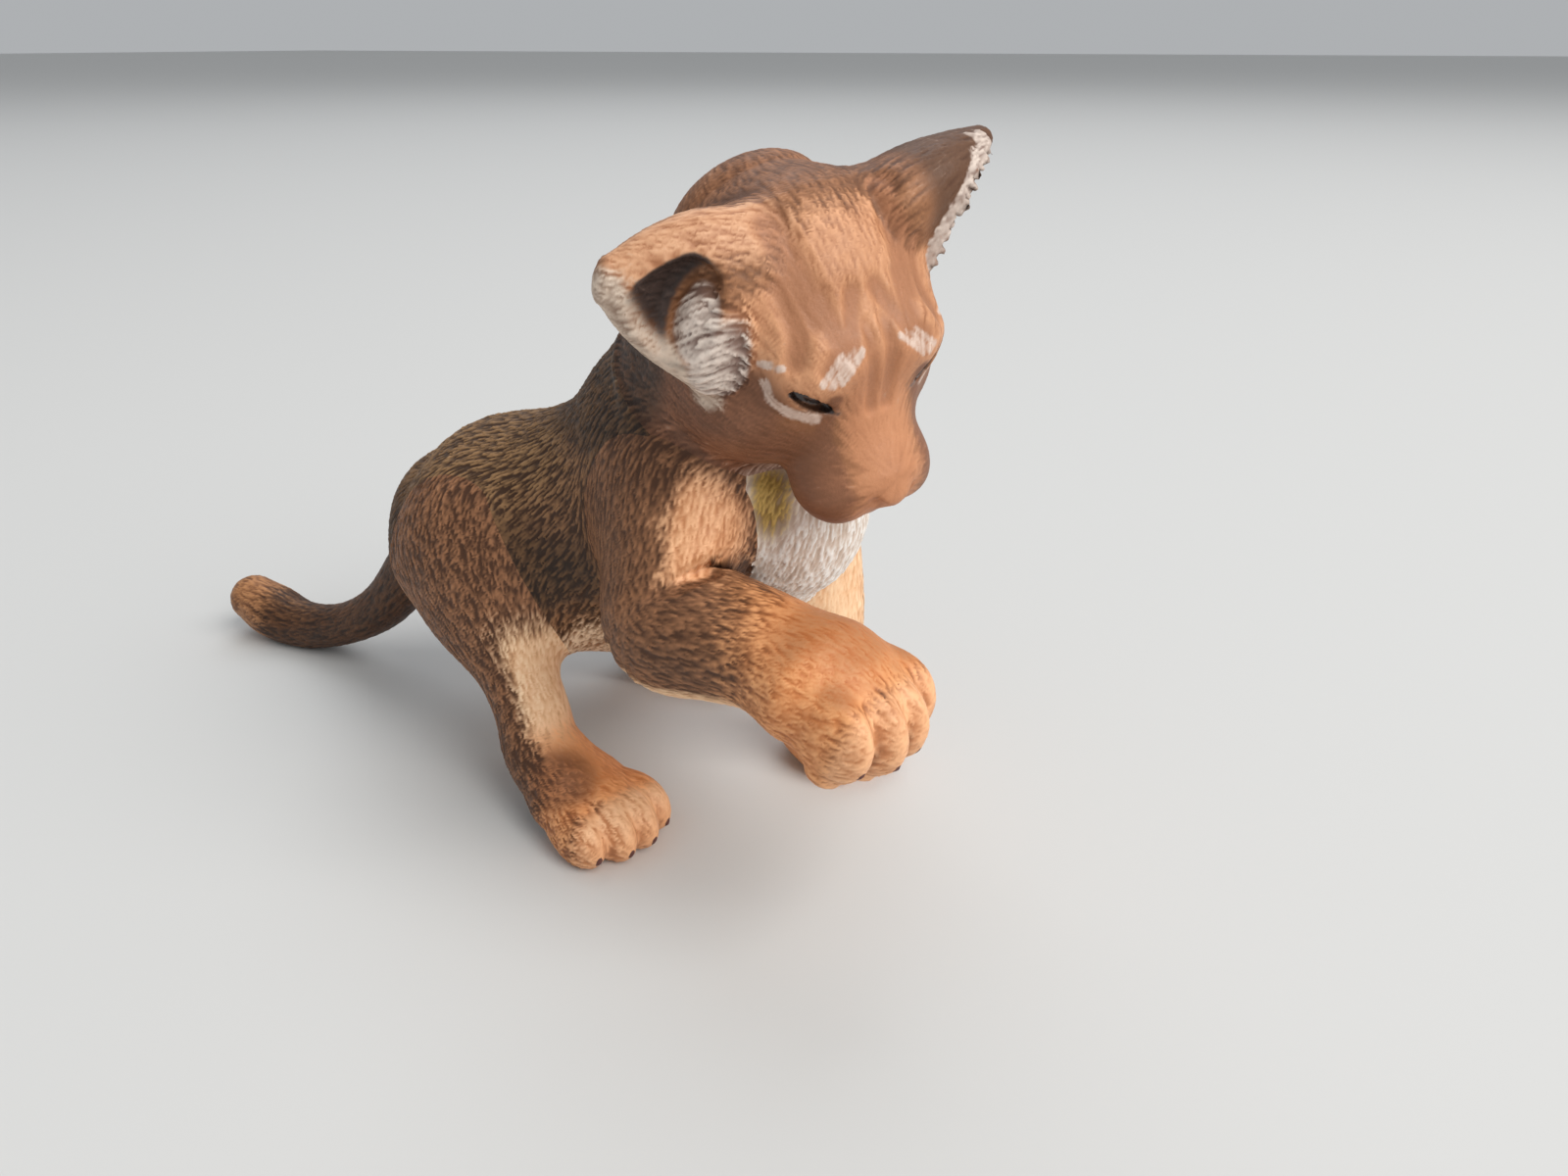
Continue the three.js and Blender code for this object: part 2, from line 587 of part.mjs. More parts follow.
const belowParting = halfSpace(upNeck(neckParting + jointGap), neckWay.clone().negate());
const neckStub = inHead(loft(neckStations, neckLoft).subtract(belowParting));
const sidesOfFace = [faceSide(-1), faceSide(1)];
const ears = [
  ear(-1, {
    root: point(rightEarForward, -earRootAside, rightEarHeight),
    sweep: rightEarSweep,
    rise: rightEarRise,
    facing: point(1, -0.15, 0.5),
  }),
  ear(1, {
    root: point(0, earRootAside, leftEarHeight),
    sweep: leftEarSweep,
    rise: leftEarRise,
    facing: point(0.8, 0.3, -0.5),
  }),
];
const headForm = joined([
  skull,
  muzzle,
  chin,
  neckStub,
  ...sidesOfFace.flatMap(({ brow, lid, cheek, pad }) => [brow, lid, cheek, pad]),
  ...ears.map(({ outside }) => outside),
]);
const carvedHead = without(headForm, [
  ...ears.map(({ hollow }) => hollow),
  ...sidesOfFace.map(({ slit }) => slit),
  solidOf(mouth),
]);
const furAndEyes = [...ears.map(({ fur }) => fur), ...sidesOfFace.map(({ eye }) => eye)];
const headWithEyes = joined([carvedHead, nose, ...furAndEyes]);
const raisedShoulder = loft(raisedStations, { ...raisedLoft, grow: jointGap }).add(raisedBlade(jointGap));
const neckPeg = inHead(rod(upNeck(neckParting - neckPegLength), upNeck(neckParting + 2), neckPegRadius));
const head = largest(without(headWithEyes, [inHead(headSeat), inHead(raisedShoulder)])).add(neckPeg);
sockets.push(
  rod(upNeck(neckParting - neckPegLength - jointGap), upNeck(neckLength), neckPegRadius + jointGap),
);

const torso = largest(without(torsoBody(0), sockets));

// Moulded vinyl, painted in three browns
const paint = (color) => new THREE.MeshStandardMaterial({ color, roughness: 0.6, metalness: 0 });
const coat = paint(0x8a5f3c);
const face = paint(0xb9784a);
const paws = paint(0xc07a45);

function piece(name, solid, material) {
  const mesh = new THREE.Mesh(geometryOf(solid), material);
  mesh.name = name;
  return mesh;
}

const headGroup = new THREE.Group();
headPose.decompose(headGroup.position, headGroup.quaternion, headGroup.scale);
headGroup.add(piece("head", head, face));

const figure = new THREE.Group();
figure.add(
  piece("torso", torso, coat),
  headGroup,
  piece("foreleg_right", rightForeleg, paws),
  piece("foreleg_left", leftForeleg, paws),
  piece("hind_leg_right", rightHindLeg, paws),
  piece("hind_leg_left", leftHindLeg, paws),
  piece("tail", tail, coat),
);

// The origin is on the ground under the middle of the figure.
const box = new THREE.Box3().setFromObject(figure, true);
figure.position.set(-(box.min.x + box.max.x) / 2, -(box.min.y + box.max.y) / 2, 0);

export default figure;
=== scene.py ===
import math
from dataclasses import dataclass
from typing import Any

import bpy
import numpy as np
from mathutils import Euler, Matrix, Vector


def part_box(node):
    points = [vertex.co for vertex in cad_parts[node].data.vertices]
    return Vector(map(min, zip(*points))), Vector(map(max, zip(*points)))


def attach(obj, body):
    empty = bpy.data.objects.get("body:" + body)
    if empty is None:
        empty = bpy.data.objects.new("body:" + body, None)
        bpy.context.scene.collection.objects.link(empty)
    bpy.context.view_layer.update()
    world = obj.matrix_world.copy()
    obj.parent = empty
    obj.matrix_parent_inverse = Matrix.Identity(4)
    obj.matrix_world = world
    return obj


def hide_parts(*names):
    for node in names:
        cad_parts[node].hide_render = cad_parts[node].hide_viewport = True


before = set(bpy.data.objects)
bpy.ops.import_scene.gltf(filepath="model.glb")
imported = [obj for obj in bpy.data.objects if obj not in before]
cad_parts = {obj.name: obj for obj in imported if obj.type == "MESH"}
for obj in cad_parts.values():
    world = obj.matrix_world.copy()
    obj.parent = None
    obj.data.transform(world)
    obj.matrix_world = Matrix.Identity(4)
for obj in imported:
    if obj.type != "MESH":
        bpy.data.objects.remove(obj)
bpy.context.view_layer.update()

# Torso
# The body, with the lower half of the neck. A sculptor makes the whole cub as one clay master and
# cuts it where the moulds part, so each piece is a form with its coat, marks and paint, cast at the
# end. All in millimetres from the ground under the hips, with X forwards and Y to the cub's left.
MM = 0.001
FAR = 3.4  # beyond this distance a form has no say in the surface
DOWN = np.array([0, 0, -1.0])
SIDES = (-1, 1)


def unit(v):
    v = np.asarray(v, float)
    return v / np.maximum(np.linalg.norm(v, axis=-1, keepdims=True), 1e-9)


def smooth_line(points, samples):
    """Points along a Catmull-Rom curve through the given ones, with the sizes that go with them."""
    points = np.asarray(points, float)
    before, after = 2 * points[0] - points[1], 2 * points[-1] - points[-2]
    p = np.concatenate([[before], points, [after]])
    t = np.linspace(0, 1, samples, endpoint=False)[:, None]
    spans = []
    for a, b, c, d in zip(p, p[1:], p[2:], p[3:]):
        curve = 2 * b + (c - a) * t + (2 * a - 5 * b + 4 * c - d) * t**2
        spans.append((curve + (3 * b - a - 3 * c + d) * t**3) / 2)
    return np.concatenate(spans + [points[-1:]])


def near_box(p, low, high):
    close = (p > low - FAR) & (p < high + FAR)
    return np.flatnonzero(close[:, 0] & close[:, 1] & close[:, 2])


def sculpted(p, members, shape):
    """A form made of several, worked out only for the points about them."""
    low, high = np.min([m.low for m in members], 0), np.max([m.high for m in members], 0)
    distance = np.full(len(p), FAR)
    close = near_box(p, low, high)
    if len(close):
        distance[close] = shape(p[close])
    return distance


class Limb:
    """A form with oval sections (x, y, z, half width, half depth) along a smooth line."""

    def __init__(self, stations, up=(0, 0, 1), dome=1.0, straight=False):
        dense = smooth_line(stations, 4)
        self.line, self.size, self.dome = dense[:, :3], dense[:, 3:], dome
        self.along = unit(np.gradient(self.line, axis=0))
        self.straight = straight
        if straight:
            self.along[:] = unit(self.line[-1] - self.line[0])
        self.across = unit(np.cross(up, self.along))
        self.above = np.cross(self.along, self.across)
        reach = self.size.max()
        self.low, self.high = self.line.min(0) - reach, self.line.max(0) + reach

    def nearest(self, p):
        if self.straight:
            axis = self.along[0]
            return np.interp(p @ axis, self.line @ axis, np.arange(len(self.line)))
        best = np.full(len(p), np.inf)
        place = np.zeros(len(p))
        for i, (a, b) in enumerate(zip(self.line, self.line[1:])):
            t = np.clip((p - a) @ (b - a) / ((b - a) @ (b - a)), 0, 1)
            away = ((p - a - t[:, None] * (b - a)) ** 2).sum(1)
            closer = away < best
            best[closer] = away[closer]
            place[closer] = i + t[closer]
        return place

    def way(self, p):
        return self.at(self.along, self.nearest(p))

    def at(self, values, place):
        first = np.minimum(place.astype(int), len(values) - 2)
        share = (place - first)[:, None]
        return values[first] * (1 - share) + values[first + 1] * share

    def __call__(self, p):
        distance = np.full(len(p), FAR)
        close = near_box(p, self.low, self.high)
        if len(close) == 0:
            return distance
        q = p[close]
        place = self.nearest(q)
        q = q - self.at(self.line, place)
        size = self.at(self.size, place)
        parts = [
            (q * self.at(self.across, place)).sum(1) / size[:, 0],
            (q * self.at(self.above, place)).sum(1) / size[:, 1],
            (q * self.at(self.along, place)).sum(1) / (size.mean(1) * self.dome),
        ]
        ratio = np.sqrt(sum(part**2 for part in parts)) + 1e-6
        length = np.linalg.norm(q, axis=1) + 1e-6
        distance[close] = length * (1 - 1 / ratio)
        return np.minimum(distance, FAR)


class Ball:
    """An ellipsoid, turned by a matrix whose columns are its own axes."""

    def __init__(self, at, radii, turn=None):
        self.at, self.radii = np.asarray(at, float), np.asarray(radii, float)
        self.turn = np.eye(3) if turn is None else np.asarray(turn, float)
        self.low, self.high = self.at - self.radii.max(), self.at + self.radii.max()

    def __call__(self, p):
        distance = np.full(len(p), FAR)
        close = near_box(p, self.low, self.high)
        q = (p[close] - self.at) @ self.turn
        ratio = np.linalg.norm(q / self.radii, axis=1) + 1e-6
        slope = np.linalg.norm(q / self.radii**2, axis=1) + 1e-6
        distance[close] = ratio * (ratio - 1) / slope
        return np.minimum(distance, FAR)


def blend(a, b, soft):
    """The union of two forms with the crease between them filled, over that many millimetres."""
    h = np.maximum(soft - np.abs(a - b), 0) / soft
    return np.minimum(a, b) - h * h * soft / 4


def carve(a, b, soft):
    """The first form less the second, its edges rounded."""
    return -blend(-a, b, soft)


RUMP_BACK = 7.84
HIP_HALF_WIDTH = 6.60
low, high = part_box("torso")
ground = np.array([low.x / MM + RUMP_BACK, high.y / MM - HIP_HALF_WIDTH, 0.0])

body = Limb(
    [
        (-3.4, 0.0, 13.1, 5.6, 5.4),
        (0.0, 0.0, 14.0, 6.6, 6.8),
        (5.0, -0.2, 14.5, 6.3, 7.5),
        (9.9, -0.4, 16.0, 6.2, 7.9),
        (14.6, -0.6, 18.2, 6.4, 7.8),
        (18.0, -0.9, 20.0, 5.6, 6.6),
    ],
    dome=0.8,
)
neck = Limb([(14.1, -0.6, 22.1, 6.1, 6.5), (17.6, -2.4, 26.7, 5.7, 5.9)], up=(1, 0, 0))
NECK_ROOT = np.array([14.1, -0.6, 22.1])
NECK_WAY = unit([0.58, -0.3, 0.76])
NECK_PARTING = 3.6
chest_ruff = Ball((19.4, -1.2, 19.9), (3.1, 3.6, 4.4))


def torso_form(p):
    lower_neck = np.maximum(neck(p), (p - NECK_ROOT) @ NECK_WAY - NECK_PARTING)
    trunk = sculpted(p, [body, chest_ruff], lambda q: blend(body(q), chest_ruff(q), 3.0))
    return blend(trunk, lower_neck, 3.0)


def ramp(low, high, value):
    """From 0 at one value to 1 at the other, eased at both."""
    t = np.clip((value - low) / (high - low), 0, 1)
    return t * t * (3 - 2 * t)


def tuft_size(p, length, width, depth):
    """The same size of tuft at every point."""
    return np.tile(np.array([length, width, depth]), (len(p), 1))


def torso_coat(p, n):
    """The fur lies back along the body and down its sides, and down the neck and chest."""
    way = -body.way(p) + DOWN * (0.8 * np.abs(n[:, 1]) + 1.5 * np.clip(n[:, 0], 0, 1))[:, None]
    on_neck = ramp(-1.0, 1.5, body(p) - neck(p))[:, None]
    way = way * (1 - on_neck) - NECK_WAY * on_neck
    size = tuft_size(p, length=0.95, width=0.26, depth=0.13)
    size[:, 2] += 0.05 * ramp(0.2, 0.9, -n[:, 2])
    return way, size


def torso_marks(p, n):
    x, y, z = p.T
    return {
        "gold": ramp(-0.2, 0.8, n[:, 2]) * 0.85 * ramp(16, 10, x),
        # dark: darker brown on the lower flank behind the forelegs and on the neck, deepened as
        # painted shade
        "dark": np.maximum(
            ramp(20, 14, z) * ramp(10.5, 13.5, z) * ramp(0.5, 0.0, -n[:, 2]) * ramp(15, 12, x),
            ramp(20.5, 23.5, z) * ramp(19, 17, x),
        ),
        "cream": np.maximum(
            ramp(0.25, 0.6, -n[:, 2]) * ramp(18, 15, z) * ramp(-4, 0, x),
            ramp(12.5, 9.0, z) * ramp(1, 4, x) * 0.45,
        ),
        "white": ramp(16.8, 19.0, x) * ramp(24.5, 22.5, z),
        "ochre": ramp(2.6, 0.9, np.linalg.norm((p - [20.0, -5.6, 20.8]) / [1, 0.8, 1.3], axis=1)),
    }


def tone(r, g, b):
    """A colour from 0 to 255 as a paint chart gives it, in the linear form that a shader takes."""
    return (*[((c / 255 + 0.055) / 1.055) ** 2.4 for c in (r, g, b)], 1)


class Value:
    """A number or colour that varies over a surface. Arithmetic on it adds shader nodes."""

    def __init__(self, tree, socket=None):
        self.tree, self.socket = tree, socket

    def node(self, kind, settings, *inputs, output=0):
        made = self.tree.nodes.new("ShaderNode" + kind)
        for key, setting in settings.items():
            setattr(made, key, setting)
        for place, value in inputs:
            if isinstance(value, Value):
                self.tree.links.new(value.socket, made.inputs[place])
            else:
                made.inputs[place].default_value = value
        return Value(self.tree, made.outputs[output])

    def math(self, operation, first, second):
        return self.node("Math", {"operation": operation}, (0, first), (1, second))

    def __add__(self, other):
        return self.math("ADD", self, other)

    def __sub__(self, other):
        return self.math("SUBTRACT", self, other)

    def __rsub__(self, other):
        return self.math("SUBTRACT", other, self)

    def __mul__(self, other):
        return self.math("MULTIPLY", self, other)

    def ramp(self, low, high):
        limits = ("From Min", low), ("From Max", high)
        return self.node("MapRange", {"interpolation_type": "SMOOTHSTEP"}, ("Value", self), *limits)

    def between(self, first, second):
        """The first colour where this is 0, and the second where it is 1."""
        colours = (6, first), (7, second)
        return self.node("Mix", {"data_type": "RGBA"}, (0, self), *colours, output=2)


# the colour of the painted shade in the creases
CREASE_SHADE_TONE = tone(70, 42, 26)


def painted(name, groove, ridge, layers, inks=()):
    """Brushed vinyl: each coat dark in the grooves and light on the ridges, partly as painted shade
    and highlight, over the one before, then painted shade that gathers in the creases, and fine
    marks in ink."""
    material = bpy.data.materials.new(name)
    material.use_nodes = True
    shader = material.node_tree.nodes["Principled BSDF"]
    start = Value(material.node_tree)
    place = start.node("TexCoord", {}, output="Object")

    def mask(key):
        return start.node("Attribute", {"attribute_name": key}, output="Fac")

    def noise(scale, detail):
        return start.node("TexNoise", {}, ("Vector", place), ("Scale", scale), ("Detail", detail))

    brush, cloud, grain = noise(1700, 3.0), noise(330, 2.0), noise(7000, 2.0)
    # the coat's strands: lighter on the tuft ridges and darker in the grooves, partly their own
    # colour and partly painted highlight and painted shade over the relief
    strand = mask("height") * 1.35 + mask("tint") * 0.4 + brush * 0.3 - 1.2
    lit = (strand * mask("relief") + cloud * 0.6 + 0.2).ramp(-0.2, 1.15)
    colour = lit.between(groove, ridge)
    for key, dark, light in layers:
        edge = (mask(key) + strand * 0.3 + cloud * 0.4 - 0.22).ramp(0.1, 0.9)
        colour = edge.between(colour, lit.between(dark, light))
    # painted shade darkens the creases between forms
    colour = (mask("wash") * (1.25 - brush * 0.6)).between(colour, CREASE_SHADE_TONE)
    for key, ink in inks:
        colour = mask(key).ramp(0.35, 0.65).between(colour, ink)
    tree = material.node_tree
    tree.links.new(colour.socket, shader.inputs["Base Color"])
    tree.links.new((brush * 0.3 + 0.36).socket, shader.inputs["Roughness"])
    bump = ("Strength", 0.35), ("Distance", 0.00006), ("Height", grain + brush * 0.6)
    tree.links.new(start.node("Bump", {}, *bump).socket, shader.inputs["Normal"])
    tree.links.new(mask("gloss").socket, shader.inputs["Coat Weight"])
    shader.inputs["Coat Roughness"].default_value = 0.12
    shader.inputs["Specular IOR Level"].default_value = 0.3
    return material


@dataclass
class Moulding:
    form: Any  # distance to its surface at points
    coat: Any  # way, length, width and depth of the tufts at points
    marks: Any  # masks of its painted marks
    paint: Any
    slot: str


GOLD = tone(66, 44, 27), tone(162, 124, 84)
ORANGE = tone(196, 118, 66), tone(244, 176, 120)
mouldings = {
    "torso": Moulding(
        torso_form,
        torso_coat,
        torso_marks,
        painted(
            "coat_paint",
            tone(66, 42, 26),
            tone(164, 118, 82),
            [
                ("gold", *GOLD),
                # darker brown with painted shade on the lower flank and the neck
                ("dark", tone(40, 25, 15), tone(112, 80, 52)),
                ("cream", tone(160, 116, 80), tone(250, 222, 190)),
                ("white", tone(212, 191, 174), tone(255, 252, 247)),
                ("ochre", tone(142, 112, 52), tone(216, 182, 104)),
            ],
        ),
        "coat",
    )
}

# Hind legs
# Two mouldings with their pegs in the hips, each from the haunch down to a broad paw. The right one
# steps forward and the left one back, both with the toes turned out.
SOLE, SOLE_EDGE = 0.0, 0.3  # the soles stand on the ground, their edges rounded
TOES = (-1.5, -0.5, 0.5, 1.5)  # across the paw, counted in toes from its middle


def turned(heading, droop):
    return np.array(Euler((0, droop, heading), "XYZ").to_matrix())


class Paw:
    """A round paw with four toes and claws, turned to a heading, with pads if it is raised."""

    def __init__(self, at, heading, half_width, height=2.1, droop=0.0, reach=1.9, pads=False):
        turn = turned(heading, droop)
        self.at, self.turn = np.asarray(at, float), turn

        def set_on(x, y, z, *radii):
            return Ball(self.at + turn @ np.array([x, y, z]), radii, turn)

        self.back = set_on(-0.6, 0, 0, 3.3, half_width, height)
        self.toes, self.claws, self.pads = [], [], []
        for toe in TOES:
            x, y = reach - 0.38 * toe**2, toe * half_width * 0.52
            self.toes.append(set_on(x, y, -0.25, 2.0, 1.06, height * 0.8))
            self.claws.append(set_on(x + 1.72, y * 1.04, -0.75, 0.32, 0.13, 0.3))
            if pads:
                self.pads.append(set_on(x + 0.2, y, -0.5 - height * 0.62, 0.95, 0.72, 0.6))
        if pads:
            self.pads.append(set_on(-1.6, 0, -0.3 - height * 0.72, 1.5, 2.0, 0.85))
        members = [self.back, *self.toes, *self.pads]
        self.low = np.min([m.low for m in members], 0)
        self.high = np.max([m.high for m in members], 0)

    def __call__(self, p):
        paw = self.toes[0](p)
        for toe in self.toes[1:]:
            paw = blend(paw, toe(p), 0.45)
        paw = blend(self.back(p), paw, 0.8)
        for pad in self.pads:
            paw = blend(paw, pad(p), 0.25)
        for claw in self.claws:
            paw = blend(paw, claw(p), 0.12)
        return paw


TOE_OUT = math.radians(18)
hind_limbs = {
    "hind_leg_right": Limb(
        [
            (-0.5, -3.6, 14.0, 3.6, 5.6),
            (1.9, -5.2, 10.9, 3.1, 4.2),
            (4.0, -6.4, 8.0, 2.2, 2.5),
            (5.6, -7.2, 5.7, 2.1, 2.2),
            (6.7, -7.9, 3.7, 2.3, 2.3),
            (9.2, -8.7, 2.3, 2.8, 2.2),
        ],
        up=(1, 0, 1),
        dome=0.6,
    ),
    "hind_leg_left": Limb(
        [
            (-0.5, 3.6, 14.0, 3.6, 5.6),
            (0.5, 5.2, 10.9, 3.1, 4.2),
            (1.6, 6.7, 8.0, 2.3, 2.6),
            (2.2, 7.8, 5.7, 2.1, 2.2),
            (2.9, 8.7, 3.7, 2.3, 2.3),
            (5.3, 9.6, 2.3, 2.8, 2.2),
        ],
        up=(1, 0, 1),
        dome=0.6,
    ),
}
hind_paws = {
    "hind_leg_right": Paw((11.4, -9.3, 1.75), -TOE_OUT, 3.05),
    "hind_leg_left": Paw((7.5, 10.2, 1.75), TOE_OUT, 3.05),
}
haunches = {
    "hind_leg_right": Ball((1.2, -4.6, 12.6), (4.9, 3.0, 6.0), turned(-0.15, -0.5)),
    "hind_leg_left": Ball((0.6, 4.6, 12.6), (4.9, 3.0, 6.0), turned(0.15, -0.4)),
}


def leg_form(limb, muscle, paw):
    members = limb, muscle, paw
    return lambda p: sculpted(
        p, members, lambda q: blend(blend(limb(q), muscle(q), 2.0), paw(q), 1.2)
    )


def leg_coat(limb, outside, depth):
    """The fur lies down the leg, and is deeper outside than inside."""

    def coat(p, n):
        size = tuft_size(p, length=0.9, width=0.28, depth=depth)
        size[:, 2] *= 0.4 + 0.6 * ramp(-0.5, 0.4, n @ outside)
        return limb.way(p), size

    return coat


def near_claws(paw, p):
    return np.max([ramp(0.1, 0.02, claw(p)) for claw in paw.claws], 0)


def on_toes(paw, p):
    return ramp(0.8, 2.4, ((p - paw.at) @ paw.turn)[:, 0])


def hind_marks(side, paw):
    def marks(p, n):
        z = p[:, 2]
        front = n @ unit([1, -0.35 * side, 0])
        orange = np.maximum(ramp(7.5, 3.5, z) * ramp(-0.4, 0.2, front), ramp(0.8, -0.4, paw(p)))
        instep = paw.at + [-1.6, 0.9 * side, 2.1]
        return {
            # light: painted highlight on the toes
            "light": on_toes(paw, p) * ramp(5, 3, z),
            "cream": ramp(-0.45, 0.4, front) * ramp(13.5, 9.0, z) * ramp(0.5, 4.5, z),
            "orange": orange * (1 - 0.65 * on_toes(paw, p)),
            "mottle": ramp(3.2, 0.8, np.linalg.norm(p - instep, axis=1)) * 0.9,
            "claw": near_claws(paw, p),
        }

    return marks


leg_paint = painted(
    "leg_paint",
    tone(78, 49, 31),
    tone(160, 111, 77),
    [
        # light: the pale coat of the standing foreleg, painted light on the raised upper arm's
        # front and painted highlight on the toes
        ("light", tone(198, 133, 88), tone(248, 193, 148)),
        ("cream", tone(222, 168, 122), tone(252, 220, 182)),
        ("orange", *ORANGE),
        ("mottle", tone(100, 62, 40), tone(184, 122, 80)),
    ],
    [("claw", tone(96, 58, 52))],
)
for name, side in zip(("hind_leg_right", "hind_leg_left"), SIDES):
    mouldings[name] = Moulding(
        leg_form(hind_limbs[name], haunches[name], hind_paws[name]),
        leg_coat(hind_limbs[name], np.array([-0.9, 0.5 * side, 0]), 0.11),
        hind_marks(side, hind_paws[name]),
        leg_paint,
        "paws",
    )

# Forelegs
# The left one stands. The right one is raised: shoulder blade, a short upper arm, then the forearm
# carried forward with the paw hanging from the wrist. Each is moulded with a peg in the shoulder.
TOE_IN = math.radians(13)
RAISED_ASIDE = math.radians(11)
WRIST_DROOP = 0.38
fore_limbs = {
    "foreleg_left": Limb(
        [
            (16.6, 2.9, 19.8, 3.4, 4.8),
            (17.6, 3.5, 15.4, 3.4, 4.0),
            (18.8, 3.9, 10.6, 2.9, 3.1),
            (19.1, 4.1, 6.1, 2.5, 2.6),
            (19.3, 4.1, 3.7, 2.7, 2.6),
            (20.0, 4.1, 2.4, 2.9, 2.3),
        ],
        up=(1, 0, 1),
        dome=0.6,
    ),
    "foreleg_right": Limb(
        [
            (14.2, -4.0, 22.2, 3.3, 4.6),
            (15.1, -5.9, 19.6, 3.6, 4.9),
            (16.0, -7.9, 16.8, 3.3, 4.2),
            (16.8, -9.3, 14.9, 3.3, 3.7),
            (19.5, -9.8, 14.9, 3.3, 3.3),
            (22.7, -10.4, 14.9, 3.1, 2.9),
            (25.2, -10.9, 14.3, 3.6, 2.9),
        ],
        up=(1, 0, 1),
        dome=0.6,
    ),
}
fore_paws = {
    "foreleg_left": Paw((20.5, 4.1, 1.75), -TOE_IN, 3.1),
    "foreleg_right": Paw(
        (27.1, -11.0, 13.9), -RAISED_ASIDE, 3.5, 2.7, droop=WRIST_DROOP, reach=2.0, pads=True
    ),
}
shoulders = {
    "foreleg_left": Ball((15.6, 3.4, 18.6), (4.2, 3.0, 5.4), turned(0, 0.25)),
    "foreleg_right": Ball((15.0, -4.6, 18.8), (4.2, 3.2, 5.2), turned(0, 0.25)),
}


def stroke(q, width, *places):
    """How much paint a brush leaves at each point when it is drawn through these places."""
    gap = np.full(len(q), FAR)
    for a, b in zip(np.array(places), np.array(places[1:])):
        t = np.clip((q - a) @ (b - a) / ((b - a) @ (b - a)), 0, 1)
        gap = np.minimum(gap, np.linalg.norm(q - a - t[:, None] * (b - a), axis=1))
    return ramp(width, 0.3 * width, gap)


ELBOW_CREASE = [(15.2, -12.4, 16.6), (16.6, -12.0, 17.6), (18.2, -11.2, 18.0), (19.2, -9.8, 18.1)]
CREASE_WIDTH, CREASE_DEPTH = 0.8, 0.35


def raised_marks(p, n):
    x, z = p[:, 0], p[:, 2]
    paw = fore_paws["foreleg_right"]
    painted_light_patch = np.linalg.norm((p - [18.4, -9.2, 19.8]) / [2.8, 3.4, 3.6], axis=1)
    toes = on_toes(paw, p)
    return {
        # light: painted light on the upper arm where it faces forwards towards the lamp, and
        # painted highlight on the toes
        "light": np.maximum(ramp(1.3, 0.4, painted_light_patch) * ramp(-0.1, 0.35, n[:, 0]), toes),
        "orange": ramp(18.5, 26.0, x + 0.8 * n[:, 0]) * ramp(20.0, 18.0, z) * (1 - 0.75 * toes),
        "cream": ramp(0.35, 0.8, -n[:, 2]) * ramp(24.5, 22.0, x) * 0.9,
        "mottle": ramp(0.4, 0.95, n[:, 2]) * ramp(22, 25, x) * (1 - toes) * 0.55,
        "claw": near_claws(paw, p),
    }


def standing_marks(p, n):
    z = p[:, 2]
    paw = fore_paws["foreleg_left"]
    inside = n @ unit([0.35, -1, 0])
    return {
        "light": ramp(20, 15, z) * 0.6,
        "orange": np.maximum(ramp(9, 4, z), ramp(0.5, -0.5, paw(p))),
        "cream": ramp(-0.25, 0.3, inside) * ramp(2.5, 5, z),
        "mottle": np.zeros(len(p)),
        "claw": near_claws(paw, p),
    }


def creased(form):
    return lambda p: form(p) + CREASE_DEPTH * stroke(p, CREASE_WIDTH, *ELBOW_CREASE)


fore_forms = {
    name: leg_form(limb, shoulders[name], fore_paws[name]) for name, limb in fore_limbs.items()
}
fore_forms["foreleg_right"] = creased(fore_forms["foreleg_right"])
for name, side, marks in zip(fore_limbs, (1, -1), (standing_marks, raised_marks)):
    mouldings[name] = Moulding(
        fore_forms[name],
        leg_coat(fore_limbs[name], np.array([0.2, side, 0]), 0.07),
        marks,
        leg_paint,
        "paws",
    )

# Tail
# One long moulding with its peg in the rump. It falls to the ground, lies along it and ends in a
# thick tip that lifts a little.
tail_limb = Limb(
    [
        (-5.6, 0.4, 13.1, 2.3, 2.6),
        (-9.0, 0.8, 9.5, 1.9, 2.1),
        (-12.9, 1.0, 5.3, 1.65, 1.75),
        (-17.2, 1.1, 2.75, 1.5, 1.6),
        (-21.6, 1.3, 1.6, 1.7, 1.75),
        (-24.6, 1.3, 2.1, 2.0, 2.0),
        (-26.6, 1.4, 2.75, 1.75, 1.75),
    ],
    up=(0, 1, 0),
)


def tail_coat(p, n):
    return tail_limb.way(p), tuft_size(p, length=1.1, width=0.28, depth=0.08)


def tail_marks(p, n):
    return {
        "tip": ramp(-22.5, -26.0, p[:, 0]),
        "gold": ramp(0.2, 0.9, n[:, 2]) * 0.15,
    }


mouldings["tail"] = Moulding(
    tail_limb,
    tail_coat,
    tail_marks,
    painted(
        "tail_paint",
        tone(46, 27, 15),
        tone(102, 66, 40),
        [("gold", *GOLD), ("tip", tone(112, 70, 42), tone(186, 132, 88))],
    ),
    "coat",
)

# Head
# Skull, muzzle and ears in one moulding on the upper half of the neck. Its own frame has X towards
# the nose, Y to the cub's left and Z up, from the middle of the skull.
HEAD_AT = np.array([21.0, -4.2, 30.7])
HEAD_TURN = np.array(
    Euler((math.radians(12), math.radians(36), math.radians(-25)), "XYZ").to_matrix()
)


def in_head(p):
    return (p - HEAD_AT) @ HEAD_TURN


skull = Limb(
    [
        (-4.3, 0, 0.6, 4.1, 4.0),
        (-1.4, 0, 0.9, 5.8, 5.35),
        (2.0, 0, 0.3, 6.1, 5.2),
        (4.6, 0, -0.6, 4.8, 4.2),
    ],
    dome=0.55,
    straight=True,
)
muzzle = Limb(
    [(4.0, 0, -2.0, 4.1, 3.4), (7.1, 0, -3.1, 3.2, 2.7), (8.9, 0, -3.7, 2.6, 2.2)],
    dome=0.55,
    straight=True,
)


def tilted(sideways, forwards):
    return np.array(Euler((sideways, forwards, 0), "XYZ").to_matrix())


